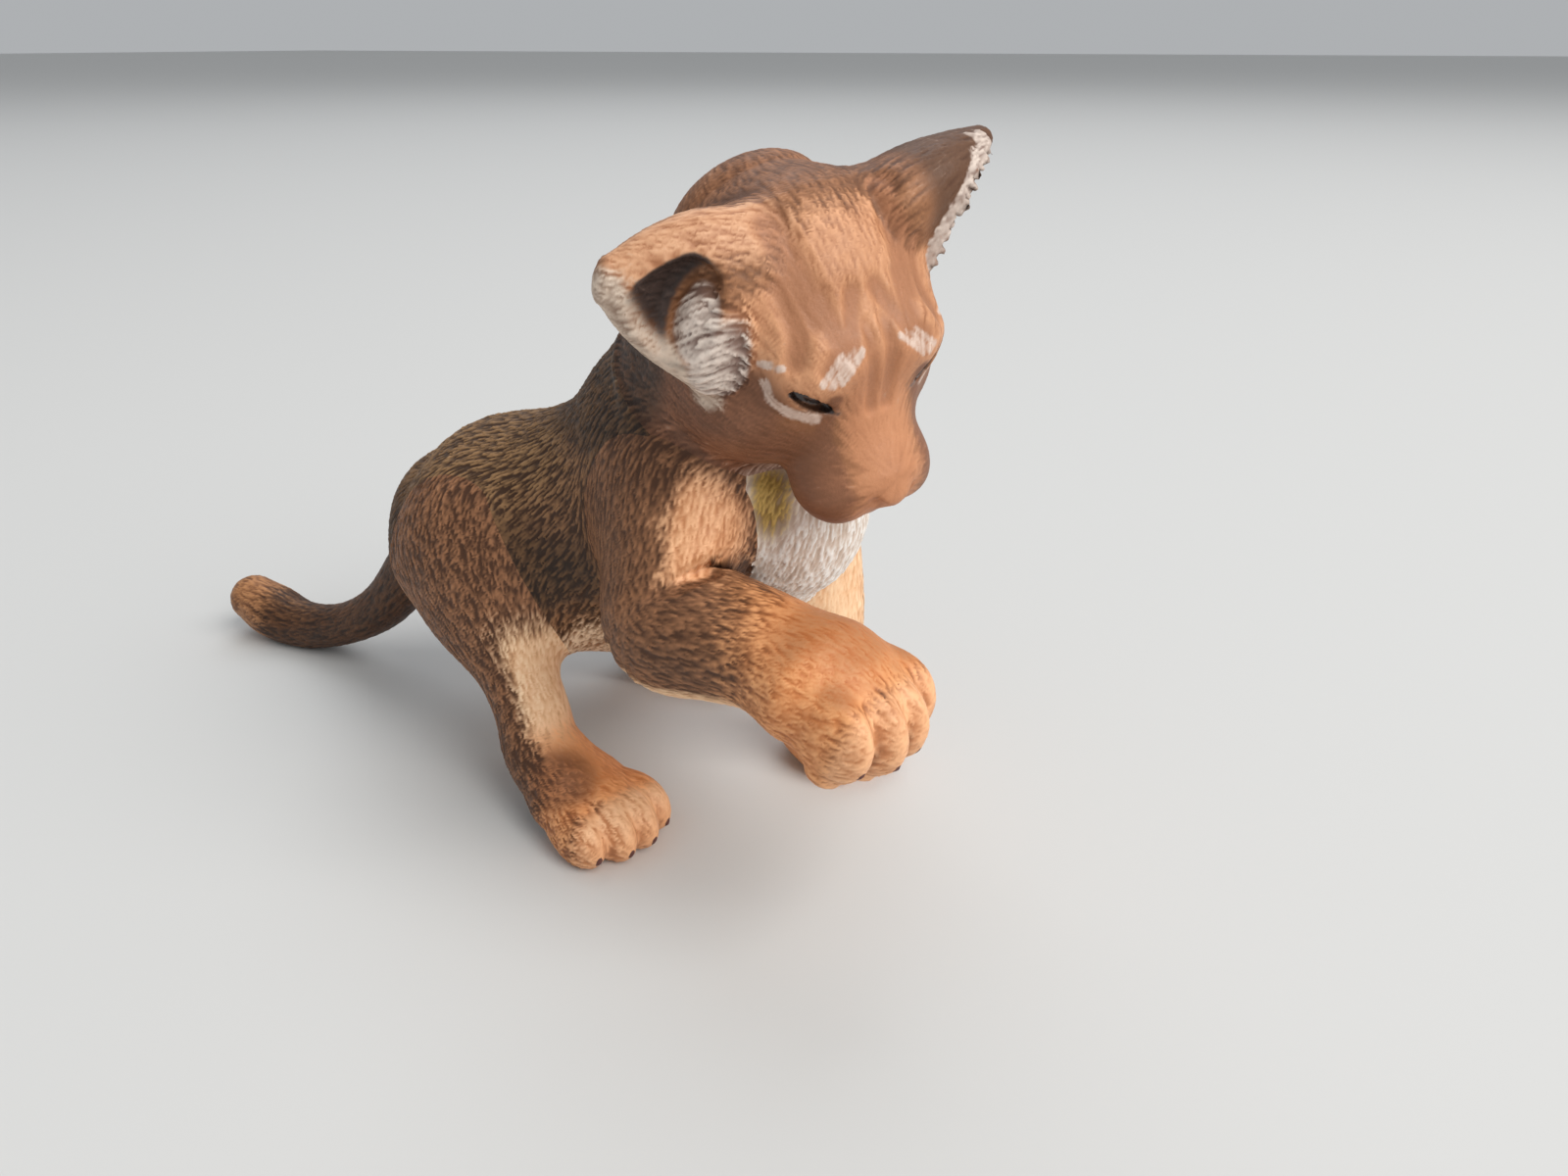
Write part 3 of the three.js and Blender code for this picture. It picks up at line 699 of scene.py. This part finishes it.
cheeks = [Ball((2.2, side * 3.9, -2.6), (3.6, 2.5, 3.0)) for side in SIDES]
pads = [Ball((7.8, side * 1.8, -3.9), (2.3, 1.8, 1.85)) for side in SIDES]
brows = [
    Ball((5.0, side * 2.5, 2.3), (1.6, 1.9, 1.0), tilted(side * -0.4, 0.4)) for side in SIDES
]
chin = Ball((7.7, 0, -5.3), (1.9, 1.4, 1.0))
nose = Ball((9.9, 0, -3.0), (0.8, 1.15, 0.8))

# Each eye looks down under a heavy lid: a bulge, a narrow slit along it and a roll below the slit.
lids, slits, eyeballs, under_lids = [], [], [], []
EYE_AT = np.array([6.1, 3.15, 0.95])
EYE_LONG = [-0.37, 0.8, 0.48]
EYE_FACING = [0.85, 0.45, 0.25]
for side in SIDES:
    mirror = np.array([1, side, 1])
    long, facing = unit(EYE_LONG) * mirror, np.array(EYE_FACING) * mirror
    facing = unit(facing - long * (facing @ long))
    axes = np.stack([long, np.cross(facing, long) * side, facing], 1)
    middle = EYE_AT * mirror
    lids.append(Ball(middle - 0.55 * facing, (1.7, 1.0, 0.85), axes))
    under_lids.append(Ball(middle - axes @ [-0.1, 0.62, 0.35], (1.45, 0.4, 0.5), axes))
    slits.append(Ball(middle + 0.25 * facing, (1.2, 0.34, 0.62), axes))
    eyeballs.append(Ball(middle - 0.55 * facing, (1.05, 0.5, 0.62), axes))

# Each ear is a deep cup, half filled on the side of the face by the fur that grows in it. The right
# one opens forwards and the left one is turned down and away, with its locks over the rim.
EAR_OUTLINE = ((-0.2, 1, 1), (0, 1, 1), (0.35, 0.88, 0.84), (0.68, 0.6, 0.55), (0.93, 0.27, 0.28))
HOLLOW_OUTLINE = ((0.22, 0.9, 0.85), (0.4, 0.95, 0.85), (0.6, 0.78, 0.7), (0.8, 0.5, 0.42))
EAR_HALF_WIDTH = {-1: 3.9, 1: 3.4}
EAR_HALF_THICK, EAR_WALL = 2.3, 1.25
HOLLOW_FORWARD, HOLLOW_LOW = 1.5, 0.55
EAR_ENDS = {-1: ((0.8, -4.9, 2.4), (-0.9, -10.1, 3.8)), 1: ((0.0, 4.8, 3.4), (-1.3, 10.9, 4.9))}
EAR_FACING = {-1: (1, -0.15, 0.5), 1: (0.8, 0.3, -0.5)}


def ear_axes(side):
    """Along the ear, across it, and the way it opens, as columns."""
    root, tip = np.array(EAR_ENDS[side])
    along = unit(tip - root)
    across = unit(np.cross(EAR_FACING[side], along))
    return np.stack([along, across, np.cross(along, across)], 1)


def ear_limb(side, outline, inset, forward, aside=0.0):
    root, tip = np.array(EAR_ENDS[side])
    axes = ear_axes(side)
    stations = []
    for share, wide, thick in outline:
        at = root + (tip - root) * share + axes @ [0, aside, forward - 0.3]
        half_width = max(EAR_HALF_WIDTH[side] * wide - inset, 0.25)
        stations.append((*at, half_width, max(EAR_HALF_THICK * thick - 0.4 * inset, 0.25)))
    return Limb(stations, up=axes[:, 2], dome=0.5)


ears = [ear_limb(side, EAR_OUTLINE, 0, 0) for side in SIDES]
hollows = [
    ear_limb(side, HOLLOW_OUTLINE, EAR_WALL, HOLLOW_FORWARD, -side * HOLLOW_LOW) for side in SIDES
]
ear_fur, fringes = [], []
for side in SIDES:
    axes = ear_axes(side)
    at = np.array(EAR_ENDS[side][0])
    ear_fur.append(Ball(at + axes @ [0.1, -side, 0.5], (1.8, 2.7, 1.6), axes))
    fringes.append(Ball(at + axes @ [-0.4, -1.2 * side, 0.8], (2.2, 2.8, 1.7), axes))

# Ragged locks stand out all along the left ear's front rim.
LEFT_RIM = [(3.2, 4.2, 2.6), (2.4, 5.5, 4.6), (1.0, 7.4, 6.0), (-0.4, 9.4, 6.1)]
LOCKS_PER_SPAN = 9
LOCK_LENGTH = 1.0
LOCK_WAY = (0.8, 0.55, -0.2)
left_locks = []
lock_dice = np.random.default_rng(5)
for at in smooth_line(LEFT_RIM, LOCKS_PER_SPAN):
    way = unit(LOCK_WAY + lock_dice.uniform(-0.35, 0.35, 3))
    across = unit(np.cross(way, DOWN))
    turn = np.stack([way, across, np.cross(way, across)], 1)
    length = LOCK_LENGTH * lock_dice.uniform(0.5, 1.1)
    left_locks.append(Ball(at - 0.1 * way, (length, 0.19, 0.22), turn))

# Strokes scored or painted on the face: a width, then the places that the tool runs through.
FURROWS = [
    (1.2, (0.4, 2.9, 5.8), (1.9, 2.8, 5.2), (4.3, 2.5, 4.0)),
    (0.9, (3.7, 2.2, 4.4), (5.9, 1.9, 3.4), (6.4, 2.6, 2.8)),
    (0.8, (2.6, 3.5, 4.6), (4.5, 3.4, 3.5), (5.3, 3.9, 2.8)),
    (0.7, (4.0, 0.6, 4.4), (6.3, 1.7, 3.2)),
    (0.55, (5.3, 0.55, 3.9), (6.4, 0.5, 3.1), (7.4, 0.4, 0.4)),
]
MOUTH = (0.4, (10.2, 0.0, -4.2), (9.6, 1.5, -4.8), (8.2, 2.8, -4.9), (6.6, 3.3, -4.5))
NOSTRIL = (0.35, (10.6, 0.45, -3.4), (10.3, 1.1, -2.9))
SLIT = (0.42, (5.8, 4.0, 1.4), (6.3, 3.1, 0.9), (6.8, 2.0, 0.3))
BROW_HAIRS = [
    (0.34, (6.55, 3.05, 2.3), (6.1, 2.0, 3.3)),
    (0.36, (6.75, 2.7, 2.2), (6.1, 1.4, 3.5)),
    (0.32, (6.85, 2.3, 2.3), (6.2, 1.0, 3.4)),
    (0.3, (4.2, 4.8, 1.8), (4.6, 4.6, 2.1)),
    (0.26, (4.9, 4.4, 2.1), (5.1, 4.3, 2.3)),
]
UNDER_EYE = (0.62, (4.9, 4.8, 1.1), (5.3, 4.6, 0.7), (5.9, 4.2, 0.4), (6.7, 3.1, 0.1))
TEAR_LINE = (0.75, (6.9, 2.4, 1.2), (7.2, 2.7, -0.7), (8.2, 2.4, -1.8), (9.6, 2.1, -2.9))
EAR_BAND = (2.3, (-0.3, -8.8, 4.8), (-0.4, -6.4, 5.6), (0.2, -3.4, 5.8))
EAR_RIM = (1.6, (-0.4, 10.0, 3.4), (0.5, 9.2, 1.5), (1.9, 7.9, 0.2), (2.9, 6.5, -0.9))
FURROW_DEPTH, MOUTH_DEPTH = 0.2, 0.22


def on_both(q, marks):
    """The most paint that any of these strokes leaves, on both sides of the face."""
    return np.max([stroke(half, *mark) for half in (q, q * [1, -1, 1]) for mark in marks], 0)


def face_form(q):
    form = blend(skull(q), muzzle(q), 1.6)
    for lump in (*cheeks, *brows):
        form = blend(form, lump(q), 1.6)
    for pad in pads:
        form = blend(form, pad(q), 0.6)
    form = blend(form, chin(q), 0.5)
    form = blend(form, nose(q), 0.35)
    for ear in ears:
        form = blend(form, ear(q), 1.0)
    for hollow in hollows:
        form = carve(form, hollow(q), 0.4)
    for fur in ear_fur:
        form = blend(form, fur(q), 1.1)
    for lock in left_locks:
        form = blend(form, lock(q), 0.15)
    for lid, under, slit, eyeball in zip(lids, under_lids, slits, eyeballs):
        form = blend(form, lid(q), 0.6)
        form = blend(form, under(q), 0.3)
        form = carve(form, slit(q), 0.15)
        form = blend(form, eyeball(q), 0.08)
    return form + FURROW_DEPTH * on_both(q, FURROWS) + MOUTH_DEPTH * on_both(q, [MOUTH, NOSTRIL])


def head_form(p):
    face = sculpted(in_head(p), [skull, muzzle, *ears], face_form)
    upper_neck = np.maximum(neck(p), NECK_PARTING - (p - NECK_ROOT) @ NECK_WAY)
    return blend(face, upper_neck, 2.0)


def head_coat(p, n):
    """The fur lies back from the nose, outwards along the ears, and deep inside them."""
    q = in_head(p)
    way = unit(q - [9.5, 0, -2.5])
    size = tuft_size(p, length=1.1, width=0.24, depth=0.06)
    size[:, 2] *= 1 - 0.5 * ramp(0.0, 3.5, q[:, 0]) - 0.4 * ramp(6.0, 8.0, q[:, 0])
    for side, ear, fringe in zip(SIDES, ears, fringes):
        root, tip = np.array(EAR_ENDS[side])
        on_ear = ramp(0.9, 0.1, ear(q))[:, None]
        way = way * (1 - on_ear) + unit(tip - root) * on_ear
        in_ear = ramp(0.3, -0.1, fringe(q))[:, None]
        size += in_ear * (tuft_size(p, length=2.0, width=0.42, depth=0.3) - size)
        way = way * (1 - in_ear) + unit(tip - root + [0, 0, -5.0]) * in_ear
    for lid in (*lids, nose):
        size[:, 2] *= ramp(-0.1, 0.5, lid(q))
    return way @ HEAD_TURN.T, size


def head_marks(p, n):
    q, m = in_head(p), n @ HEAD_TURN
    x, y, z = q.T
    fringe = np.max([ramp(0.2, -0.1, zone(q)) for zone in (*ear_fur, *fringes)], 0)
    fringe = np.maximum(fringe, np.max([ramp(0.12, 0.0, lock(q)) for lock in left_locks], 0))
    # painted shade deep in the ear hollows, less where the rim and the fur cover them
    cavity = np.zeros(len(q))
    for side, hollow in zip(SIDES, hollows):
        outward = (q - EAR_ENDS[side][0]) @ ear_axes(side)[:, 0]
        cavity = np.maximum(cavity, ramp(0.35, 0.05, np.abs(hollow(q))) * ramp(0.6, 2.0, outward))
    rim = on_both(q, [EAR_RIM])
    cavity *= (1 - fringe) * (1 - 0.7 * rim)
    on_ear = np.max([ramp(0.5, 0.0, ear(q)) for ear in ears], 0)
    left_side = ramp(3.5, 5.5, y)
    ear_back = np.maximum(ramp(0.4, -0.2, m[:, 0]), left_side)
    under_chin = ramp(-4.9, -5.4, z) * ramp(4, 6, x)
    slit = on_both(q, [SLIT])
    hairs = on_both(q, [*BROW_HAIRS, UNDER_EYE])
    jaw = ramp(0.8, -1.6, z) * ramp(1.2, 2.8, np.abs(y))
    behind_eye = ramp(3.4, 4.8, np.abs(y)) * ramp(2.6, 0.6, z) * (1 - on_ear)
    return {
        "crown": np.maximum(ramp(1.5, -2.5, x), on_ear * ear_back),
        "peach": ramp(-1.0, 2.2, x) * ramp(-0.4, 2.2, z) * (1 - on_ear),
        "band": stroke(q, *EAR_BAND) * 0.9,
        "muzzle": ramp(5.0, 7.5, x) * ramp(3.0, 0.9, np.abs(y)) * ramp(-5.0, -4.2, z),
        "jowl": np.max([jaw, behind_eye, on_both(q, [TEAR_LINE])], 0) * 0.9,
        "furrow": on_both(q, FURROWS) * 0.75,
        # nape: dark brown under the back of the head, deepened as painted shade, and the far ear's
        # darker back
        "nape": np.maximum(ramp(2.0, -1.0, x) * ramp(-1.0, -3.5, z), on_ear * left_side * 0.7),
        "rim": rim,
        "fringe": fringe,
        "cavity": cavity,
        "pale": np.maximum(hairs, under_chin) * 0.9,
        "slit": slit,
        "gloss": slit,
    }


mouldings["head"] = Moulding(
    head_form,
    head_coat,
    head_marks,
    painted(
        "face_paint",
        tone(104, 66, 42),
        tone(178, 124, 86),
        [
            ("crown", tone(86, 54, 36), tone(168, 116, 82)),
            ("peach", tone(158, 102, 68), tone(228, 170, 128)),
            ("band", tone(168, 110, 74), tone(224, 174, 136)),
            ("jowl", tone(84, 52, 36), tone(162, 110, 80)),
            ("muzzle", tone(164, 106, 72), tone(208, 148, 108)),
            ("furrow", tone(126, 80, 54), tone(190, 132, 96)),
            # dark brown nape with painted shade under the head
            ("nape", tone(44, 28, 19), tone(108, 75, 54)),
            ("rim", tone(152, 126, 108), tone(238, 218, 198)),
            ("fringe", tone(128, 104, 94), tone(232, 216, 203)),
            # painted shade in the ear hollows
            ("cavity", tone(36, 28, 26), tone(76, 60, 54)),
            ("pale", tone(176, 142, 124), tone(234, 213, 198)),
        ],
        [("slit", tone(46, 30, 24))],
    ),
    "face",
)

# Casting
# The master is one smooth body. It is scored all over with tufts, and each face of its skin goes to
# the piece whose own form is nearest, which puts the partings in the creases where the limbs join.
JOIN_SOFT = {
    "head": 0.6,
    "foreleg_right": 1.6,
    "foreleg_left": 2.0,
    "hind_leg_right": 2.2,
    "hind_leg_left": 2.2,
    "tail": 1.6,
}
NAMES = ["torso", *JOIN_SOFT]


def forms(p):
    """Each piece's own distance to each point."""
    return np.stack([mouldings[name].form(p) for name in NAMES], 1)


def master(p):
    distances = forms(p)
    whole = distances[:, 0]
    for name, soft in JOIN_SOFT.items():
        whole = blend(whole, distances[:, NAMES.index(name)], soft)
    return carve(whole, p[:, 2] - SOLE, SOLE_EDGE)


def slope(p, step=0.05):
    """The field and its gradient, from four samples about each point."""
    corners = np.array([(1, -1, -1), (-1, -1, 1), (-1, 1, -1), (1, 1, 1)]) * step
    values = [master(p + corner) for corner in corners]
    gradient = sum(value[:, None] * corner for value, corner in zip(values, corners))
    return sum(values) / 4, gradient / (4 * step**2)


CELL = 0.26  # the edge of the cubes in which the clay is sampled
LOW = np.array([-30.0, -17.0, -1.0])
HIGH = np.array([34.0, 17.0, 40.0])


def lattice(low, cell, counts):
    axes = [low[i] + cell * np.arange(counts[i]) for i in range(3)]
    return np.stack(np.meshgrid(*axes, indexing="ij"), -1).reshape(-1, 3)


def contour():
    """The master's skin as quads, one vertex to each small cell that the skin passes through."""
    coarse = 4
    blocks = np.ceil((HIGH - LOW) / (CELL * coarse)).astype(int)
    counts = blocks * coarse
    middle = lattice(LOW + CELL * coarse / 2, CELL * coarse, blocks)
    rough = master(middle).reshape(blocks)
    fine = rough.repeat(coarse, 0).repeat(coarse, 1).repeat(coarse, 2)
    close = np.abs(fine) < CELL * coarse
    index = np.argwhere(close)
    fine[close] = master(LOW + CELL * index)
    inside = fine < 0

    corner = [(i, j, k) for i in (0, 1) for j in (0, 1) for k in (0, 1)]
    shape = counts - 1

    def shifted(values, c):
        return values[c[0] : c[0] + shape[0], c[1] : c[1] + shape[1], c[2] : c[2] + shape[2]]

    total = sum(shifted(inside, c).astype(np.int8) for c in corner)
    cells = np.argwhere((total > 0) & (total < 8))
    number = np.full(shape, -1)
    number[tuple(cells.T)] = np.arange(len(cells))
    place = np.zeros((len(cells), 3))
    crossings = np.zeros(len(cells))
    for a in corner:
        for axis in range(3):
            if a[axis]:
                continue
            b = list(a)
            b[axis] = 1
            va, vb = fine[tuple((cells + a).T)], fine[tuple((cells + b).T)]
            cross = (va < 0) != (vb < 0)
            share = va[cross] / (va[cross] - vb[cross])
            at = (cells[cross] + a).astype(float)
            at[:, axis] += share
            place[cross] += at
            crossings[cross] += 1
    place = LOW + CELL * place / crossings[:, None]

    quads = []
    for axis in range(3):
        u, v = [i for i in range(3) if i != axis]
        step = np.eye(3, dtype=int)
        first = inside[:-1, :-1, :-1]
        second = shifted(inside, tuple(step[axis]))
        edges = np.argwhere(first != second)
        edges = edges[(edges[:, u] > 0) & (edges[:, v] > 0)]
        ring = [edges - step[u] - step[v], edges - step[v], edges, edges - step[u]]
        corners = np.stack([number[tuple(c.T)] for c in ring], 1)
        flip = first[tuple(edges.T)] == (axis == 1)
        corners[flip] = corners[flip][:, ::-1]
        quads.append(corners)
    return place, np.concatenate(quads)


def settle(points, rounds):
    """Moves points onto the master's skin, and gives its outward directions there."""
    longest, flattest = 0.3, 0.05
    for _ in range(rounds):
        value, gradient = slope(points)
        steep = np.maximum((gradient**2).sum(1), flattest)
        points = points - (np.clip(value, -longest, longest) / steep)[:, None] * gradient
    return points, unit(gradient)


def mesh_from(name, points, faces):
    mesh = bpy.data.meshes.new(name)
    mesh.from_pydata((points * MM).tolist(), [], faces)
    mesh.update()
    return mesh


def refine(points, faces):
    """Every quad becomes four, on a smooth surface."""
    rough = bpy.data.objects.new("rough", mesh_from("rough", points, faces.tolist()))
    bpy.context.scene.collection.objects.link(rough)
    rough.modifiers.new("finer", "SUBSURF").levels = 1
    finer = rough.evaluated_get(bpy.context.evaluated_depsgraph_get()).data
    found = np.empty(len(finer.vertices) * 3)
    finer.vertices.foreach_get("co", found)
    corners = np.empty(len(finer.loops), int)
    finer.loops.foreach_get("vertex_index", corners)
    bpy.data.objects.remove(rough)
    return found.reshape(-1, 3) / MM, corners.reshape(-1, 4)


def owners(points, faces):
    """The piece that each face belongs to: the one whose own form is nearest, with no islands."""
    distances = forms(points)[faces].mean(1)
    owner = distances.argmin(1)
    for index in range(len(NAMES)):
        mine = np.flatnonzero(owner == index)
        label = np.arange(len(points))
        while True:
            least = label[faces[mine]].min(1)
            before = label.copy()
            np.minimum.at(label, faces[mine].ravel(), least.repeat(4))
            label = label[label]
            if (label == before).all():
                break
        islands, sizes = np.unique(label[faces[mine, 0]], return_counts=True)
        stray = mine[label[faces[mine, 0]] != islands[sizes.argmax()]]
        distances[stray, index] = FAR
        owner[stray] = distances[stray].argmin(1)
    return owner


def on_parting(points, faces, owner, outward):
    """Slides the corners between two pieces onto the line where the two forms are equally near."""
    lowest, highest = np.full(len(points), len(NAMES)), np.full(len(points), -1)
    np.minimum.at(lowest, faces.ravel(), owner.repeat(4))
    np.maximum.at(highest, faces.ravel(), owner.repeat(4))
    border = np.flatnonzero(lowest != highest)
    rows, a, b = np.arange(len(border)), lowest[border], highest[border]

    def lead(offset):
        distances = forms(points[border] + offset)
        return distances[rows, a] - distances[rows, b]

    nudge, flattest, longest = 0.02, 0.02, 0.5 * CELL
    value = lead(0)
    gradient = np.stack([lead(step) - value for step in np.eye(3) * nudge], 1) / nudge
    away = outward[border]
    gradient -= away * (gradient * away).sum(1, keepdims=True)
    move = gradient * (value / np.maximum((gradient**2).sum(1), flattest))[:, None]
    length = np.linalg.norm(move, axis=1, keepdims=True)
    points = points.copy()
    points[border] -= move * np.minimum(1, longest / np.maximum(length, 1e-9))
    return points


skin, quads = contour()
skin, outward = settle(skin, 2)
owner = owners(skin, quads)
skin = on_parting(skin, quads, owner, outward)
skin, quads = refine(skin, quads)
owner = owner.repeat(4)
skin, outward = settle(skin, 1)
skin = on_parting(skin, quads, owner, outward)
skin[:, 2] = np.maximum(skin[:, 2], SOLE)
CREASE_SHADE_REACH = 0.7  # painted shade darkens the skin where it comes back within this distance above itself
wash = ramp(0.35, 1.1, 1 - master(skin + outward * CREASE_SHADE_REACH) / CREASE_SHADE_REACH)

COAT_REACH = 2.5  # one piece's fur runs on this far into the next
COAT_FADE = 0.6


def combed(p, n):
    """The way that the fur lies and the size of its tufts, each coat run into the next."""
    distances = forms(p)
    distances -= distances.min(1, keepdims=True)
    way, size, total = np.zeros_like(p), np.zeros_like(p), np.zeros(len(p))
    for index, name in enumerate(NAMES):
        close = np.flatnonzero(distances[:, index] < COAT_REACH)
        weight = np.exp(-distances[close, index] / COAT_FADE)
        its_way, its_size = mouldings[name].coat(p[close], n[close])
        way[close] += weight[:, None] * unit(its_way)
        size[close] += weight[:, None] * its_size
        total[close] += weight
    way -= n * (way * n).sum(1, keepdims=True)
    return unit(way), size / total[:, None]


TUFT_SPACING = 0.3
TUFT_REACH = 0.62  # points further than this from a tuft's middle may miss it
TUFT_MIDDLE = 0.45  # of its length from the root
SAME_SIDE = 0.4  # a tuft leaves out the skin that lies further than this above or below its root


def tufts(p, n, way, size):
    """Height of the tufts from 0 to 1, and a number from 0 to 1 that is each tuft's own."""
    dice = np.random.default_rng(11)
    order = dice.permutation(len(p))
    cells = np.floor(p[order] / TUFT_SPACING).astype(int)
    root = order[np.unique(cells, axis=0, return_index=True)[1]]
    lot, bend = dice.random(len(root)), dice.uniform(-0.5, 0.5, len(root))
    along, length, width = way[root], size[root, 0], size[root, 1]
    across = np.cross(n[root], along)
    middle = p[root] + along * (length * TUFT_MIDDLE)[:, None]

    def key(cell):
        """One number for each cell, with fewer than 4096 of them along any side."""
        return (cell[:, 0] * 4096 + cell[:, 1]) * 4096 + cell[:, 2]

    low = p.min(0) - 3  # so that no cell is counted below zero
    keys = key(np.floor((middle - low) / TUFT_REACH).astype(int))
    order = np.argsort(keys)
    keys = keys[order]
    cells = np.floor((p - low) / TUFT_REACH).astype(int)
    cell, place = np.unique(cells, axis=0, return_inverse=True)
    place = place.ravel()
    height, tint = np.zeros(len(p)), np.zeros(len(p))
    for step in np.ndindex(3, 3, 3):
        wanted = key(cell + np.array(step) - 1)
        first, last = np.searchsorted(keys, wanted, "left"), np.searchsorted(keys, wanted, "right")
        first, many = first[place], (last - first)[place]
        for k in range(many.max()):
            point = np.flatnonzero(many > k)
            tuft = order[first[point] + k]
            d = p[point] - p[root[tuft]]
            t = (d * along[tuft]).sum(1) / length[tuft]
            w = (d * across[tuft]).sum(1) / width[tuft] * 2 + bend[tuft] * t * t
            flat = np.abs((d * n[root[tuft]]).sum(1)) < SAME_SIDE
            taper = 1 - 0.7 * np.clip(t, 0, 1) ** 2
            rise = ramp(-0.2, 0.8, t) * ramp(1.05, 0.8, t)
            h = rise * np.clip(1 - (w / taper) ** 2, 0, 1) * (0.7 + 0.3 * lot[tuft]) * flat
            better = h > height[point]
            height[point[better]] = h[better]
            tint[point[better]] = lot[tuft[better]]
    return height, tint


way, size = combed(skin, outward)
height, tint = tufts(skin, outward, way, size)
FULL_RELIEF = 0.09  # tufts as deep as this take the whole range of their paint
TUFT_LEVEL = 0.4  # a tuft rises from this share of its depth below the smooth skin
relief = np.clip(size[:, 2] / FULL_RELIEF, 0.15, 1.2)
above_sole = ramp(0.02, 0.3, skin[:, 2])
sculpt = skin + outward * (size[:, 2] * (height - TUFT_LEVEL) * above_sole)[:, None]


def cast(name, moulding):
    """The finished piece: its part of the skin, closed inside, with its painted marks."""
    mine = quads[owner == NAMES.index(name)]
    used, faces = np.unique(mine, return_inverse=True)
    faces = faces.reshape(-1, 4)
    points = sculpt[used]
    ends = np.stack([faces, np.roll(faces, -1, 1)], 2).reshape(-1, 2)
    code, back = ends[:, 0] * len(used) + ends[:, 1], ends[:, 1] * len(used) + ends[:, 0]
    open_ends = ends[~np.isin(code, back)]
    following = dict(open_ends.tolist())
    caps, extra = [], []
    while following:
        start, at = following.popitem()
        ring = [start]
        while at != start:
            ring.append(at)
            at = following.pop(at)
        base = len(points) + sum(len(e) for e in extra)
        inner = points[ring].mean(0)
        extra.append(np.concatenate([points[ring], inner[None]]))
        count = len(ring)
        caps += [(base + (i + 1) % count, base + i, base + count) for i in range(count)]
    everything = np.concatenate([points, *extra])
    mesh = mesh_from(name, everything + ground, faces.tolist() + caps)
    mesh.shade_smooth()
    marks = {"gloss": np.zeros(len(used)), **moulding.marks(skin[used], outward[used])}
    marks.update(height=height[used], tint=tint[used], wash=wash[used], relief=relief[used])
    for key, values in marks.items():
        padded = np.zeros(len(everything), np.float32)
        padded[: len(used)] = values
        mesh.attributes.new(key, "FLOAT", "POINT").data.foreach_set("value", padded)
    piece = bpy.data.objects.new(name + "_moulding", mesh)
    bpy.context.scene.collection.objects.link(piece)
    piece.data.materials.append(moulding.paint)
    return piece


for name in NAMES:
    moulding = mouldings[name]
    piece = cast(name, moulding)
    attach(piece, "root")
    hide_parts(name)

# Floor, light and camera
# A plain pale table, a broad soft lamp in front and above, a weaker one behind on the cub's left,
# and a phone's main camera held close in front of its right shoulder.
FLOOR = 4.0  # metres from its middle to each edge
floor_corners = [(x * FLOOR, y * FLOOR, 0) for x, y in ((-1, -1), (1, -1), (1, 1), (-1, 1))]
floor_mesh = bpy.data.meshes.new("floor")
floor_mesh.from_pydata(floor_corners, [], [(0, 1, 2, 3)])
floor = bpy.data.objects.new("floor", floor_mesh)
bpy.context.scene.collection.objects.link(floor)
floor_paint = bpy.data.materials.new("floor")
floor_paint.use_nodes = True
floor_shader = floor_paint.node_tree.nodes["Principled BSDF"]
floor_shader.inputs["Base Color"].default_value = (0.62, 0.62, 0.61, 1)
floor_shader.inputs["Roughness"].default_value = 0.7
floor_mesh.materials.append(floor_paint)

world = bpy.data.worlds.new("room")
bpy.context.scene.world = world
world.use_nodes = True
background = world.node_tree.nodes["Background"]
background.inputs["Color"].default_value = (0.94, 0.97, 1.0, 1)
background.inputs["Strength"].default_value = 0.45
bpy.context.scene.view_settings.view_transform = "Standard"

FIGURE = Vector((5, 0, 15))


def soft_lamp(name, at, size, power, colour):
    """A round lamp aimed at the figure, its place and size in millimetres."""
    lamp = bpy.data.lights.new(name, "AREA")
    lamp.shape = "DISK"
    lamp.size = size * MM
    lamp.energy = power
    lamp.color = colour
    thing = bpy.data.objects.new(name, lamp)
    thing.location = Vector(at) * MM
    thing.rotation_euler = (Vector(at) - FIGURE).to_track_quat("Z", "Y").to_euler()
    bpy.context.scene.collection.objects.link(thing)


soft_lamp("window", (640, -140, 620), 800, 8.0, (1.0, 0.98, 0.95))
soft_lamp("room_side", (-240, 480, 840), 760, 2.4, (0.95, 0.97, 1.0))

CAMERA_AT = Vector((44.36, -55.13, 41.5))
CAMERA_LOOK = Vector((-0.383, 0.821, -0.4226))
camera = bpy.data.objects.new("camera", bpy.data.cameras.new("camera"))
camera.data.lens = 27.0
camera.data.sensor_width = 36.0
camera.data.clip_start = 0.002
camera.data.clip_end = 20
camera.location = (Vector(ground) + CAMERA_AT) * MM
camera.rotation_euler = (-CAMERA_LOOK).to_track_quat("Z", "Y").to_euler()
bpy.context.scene.collection.objects.link(camera)
bpy.context.scene.camera = camera
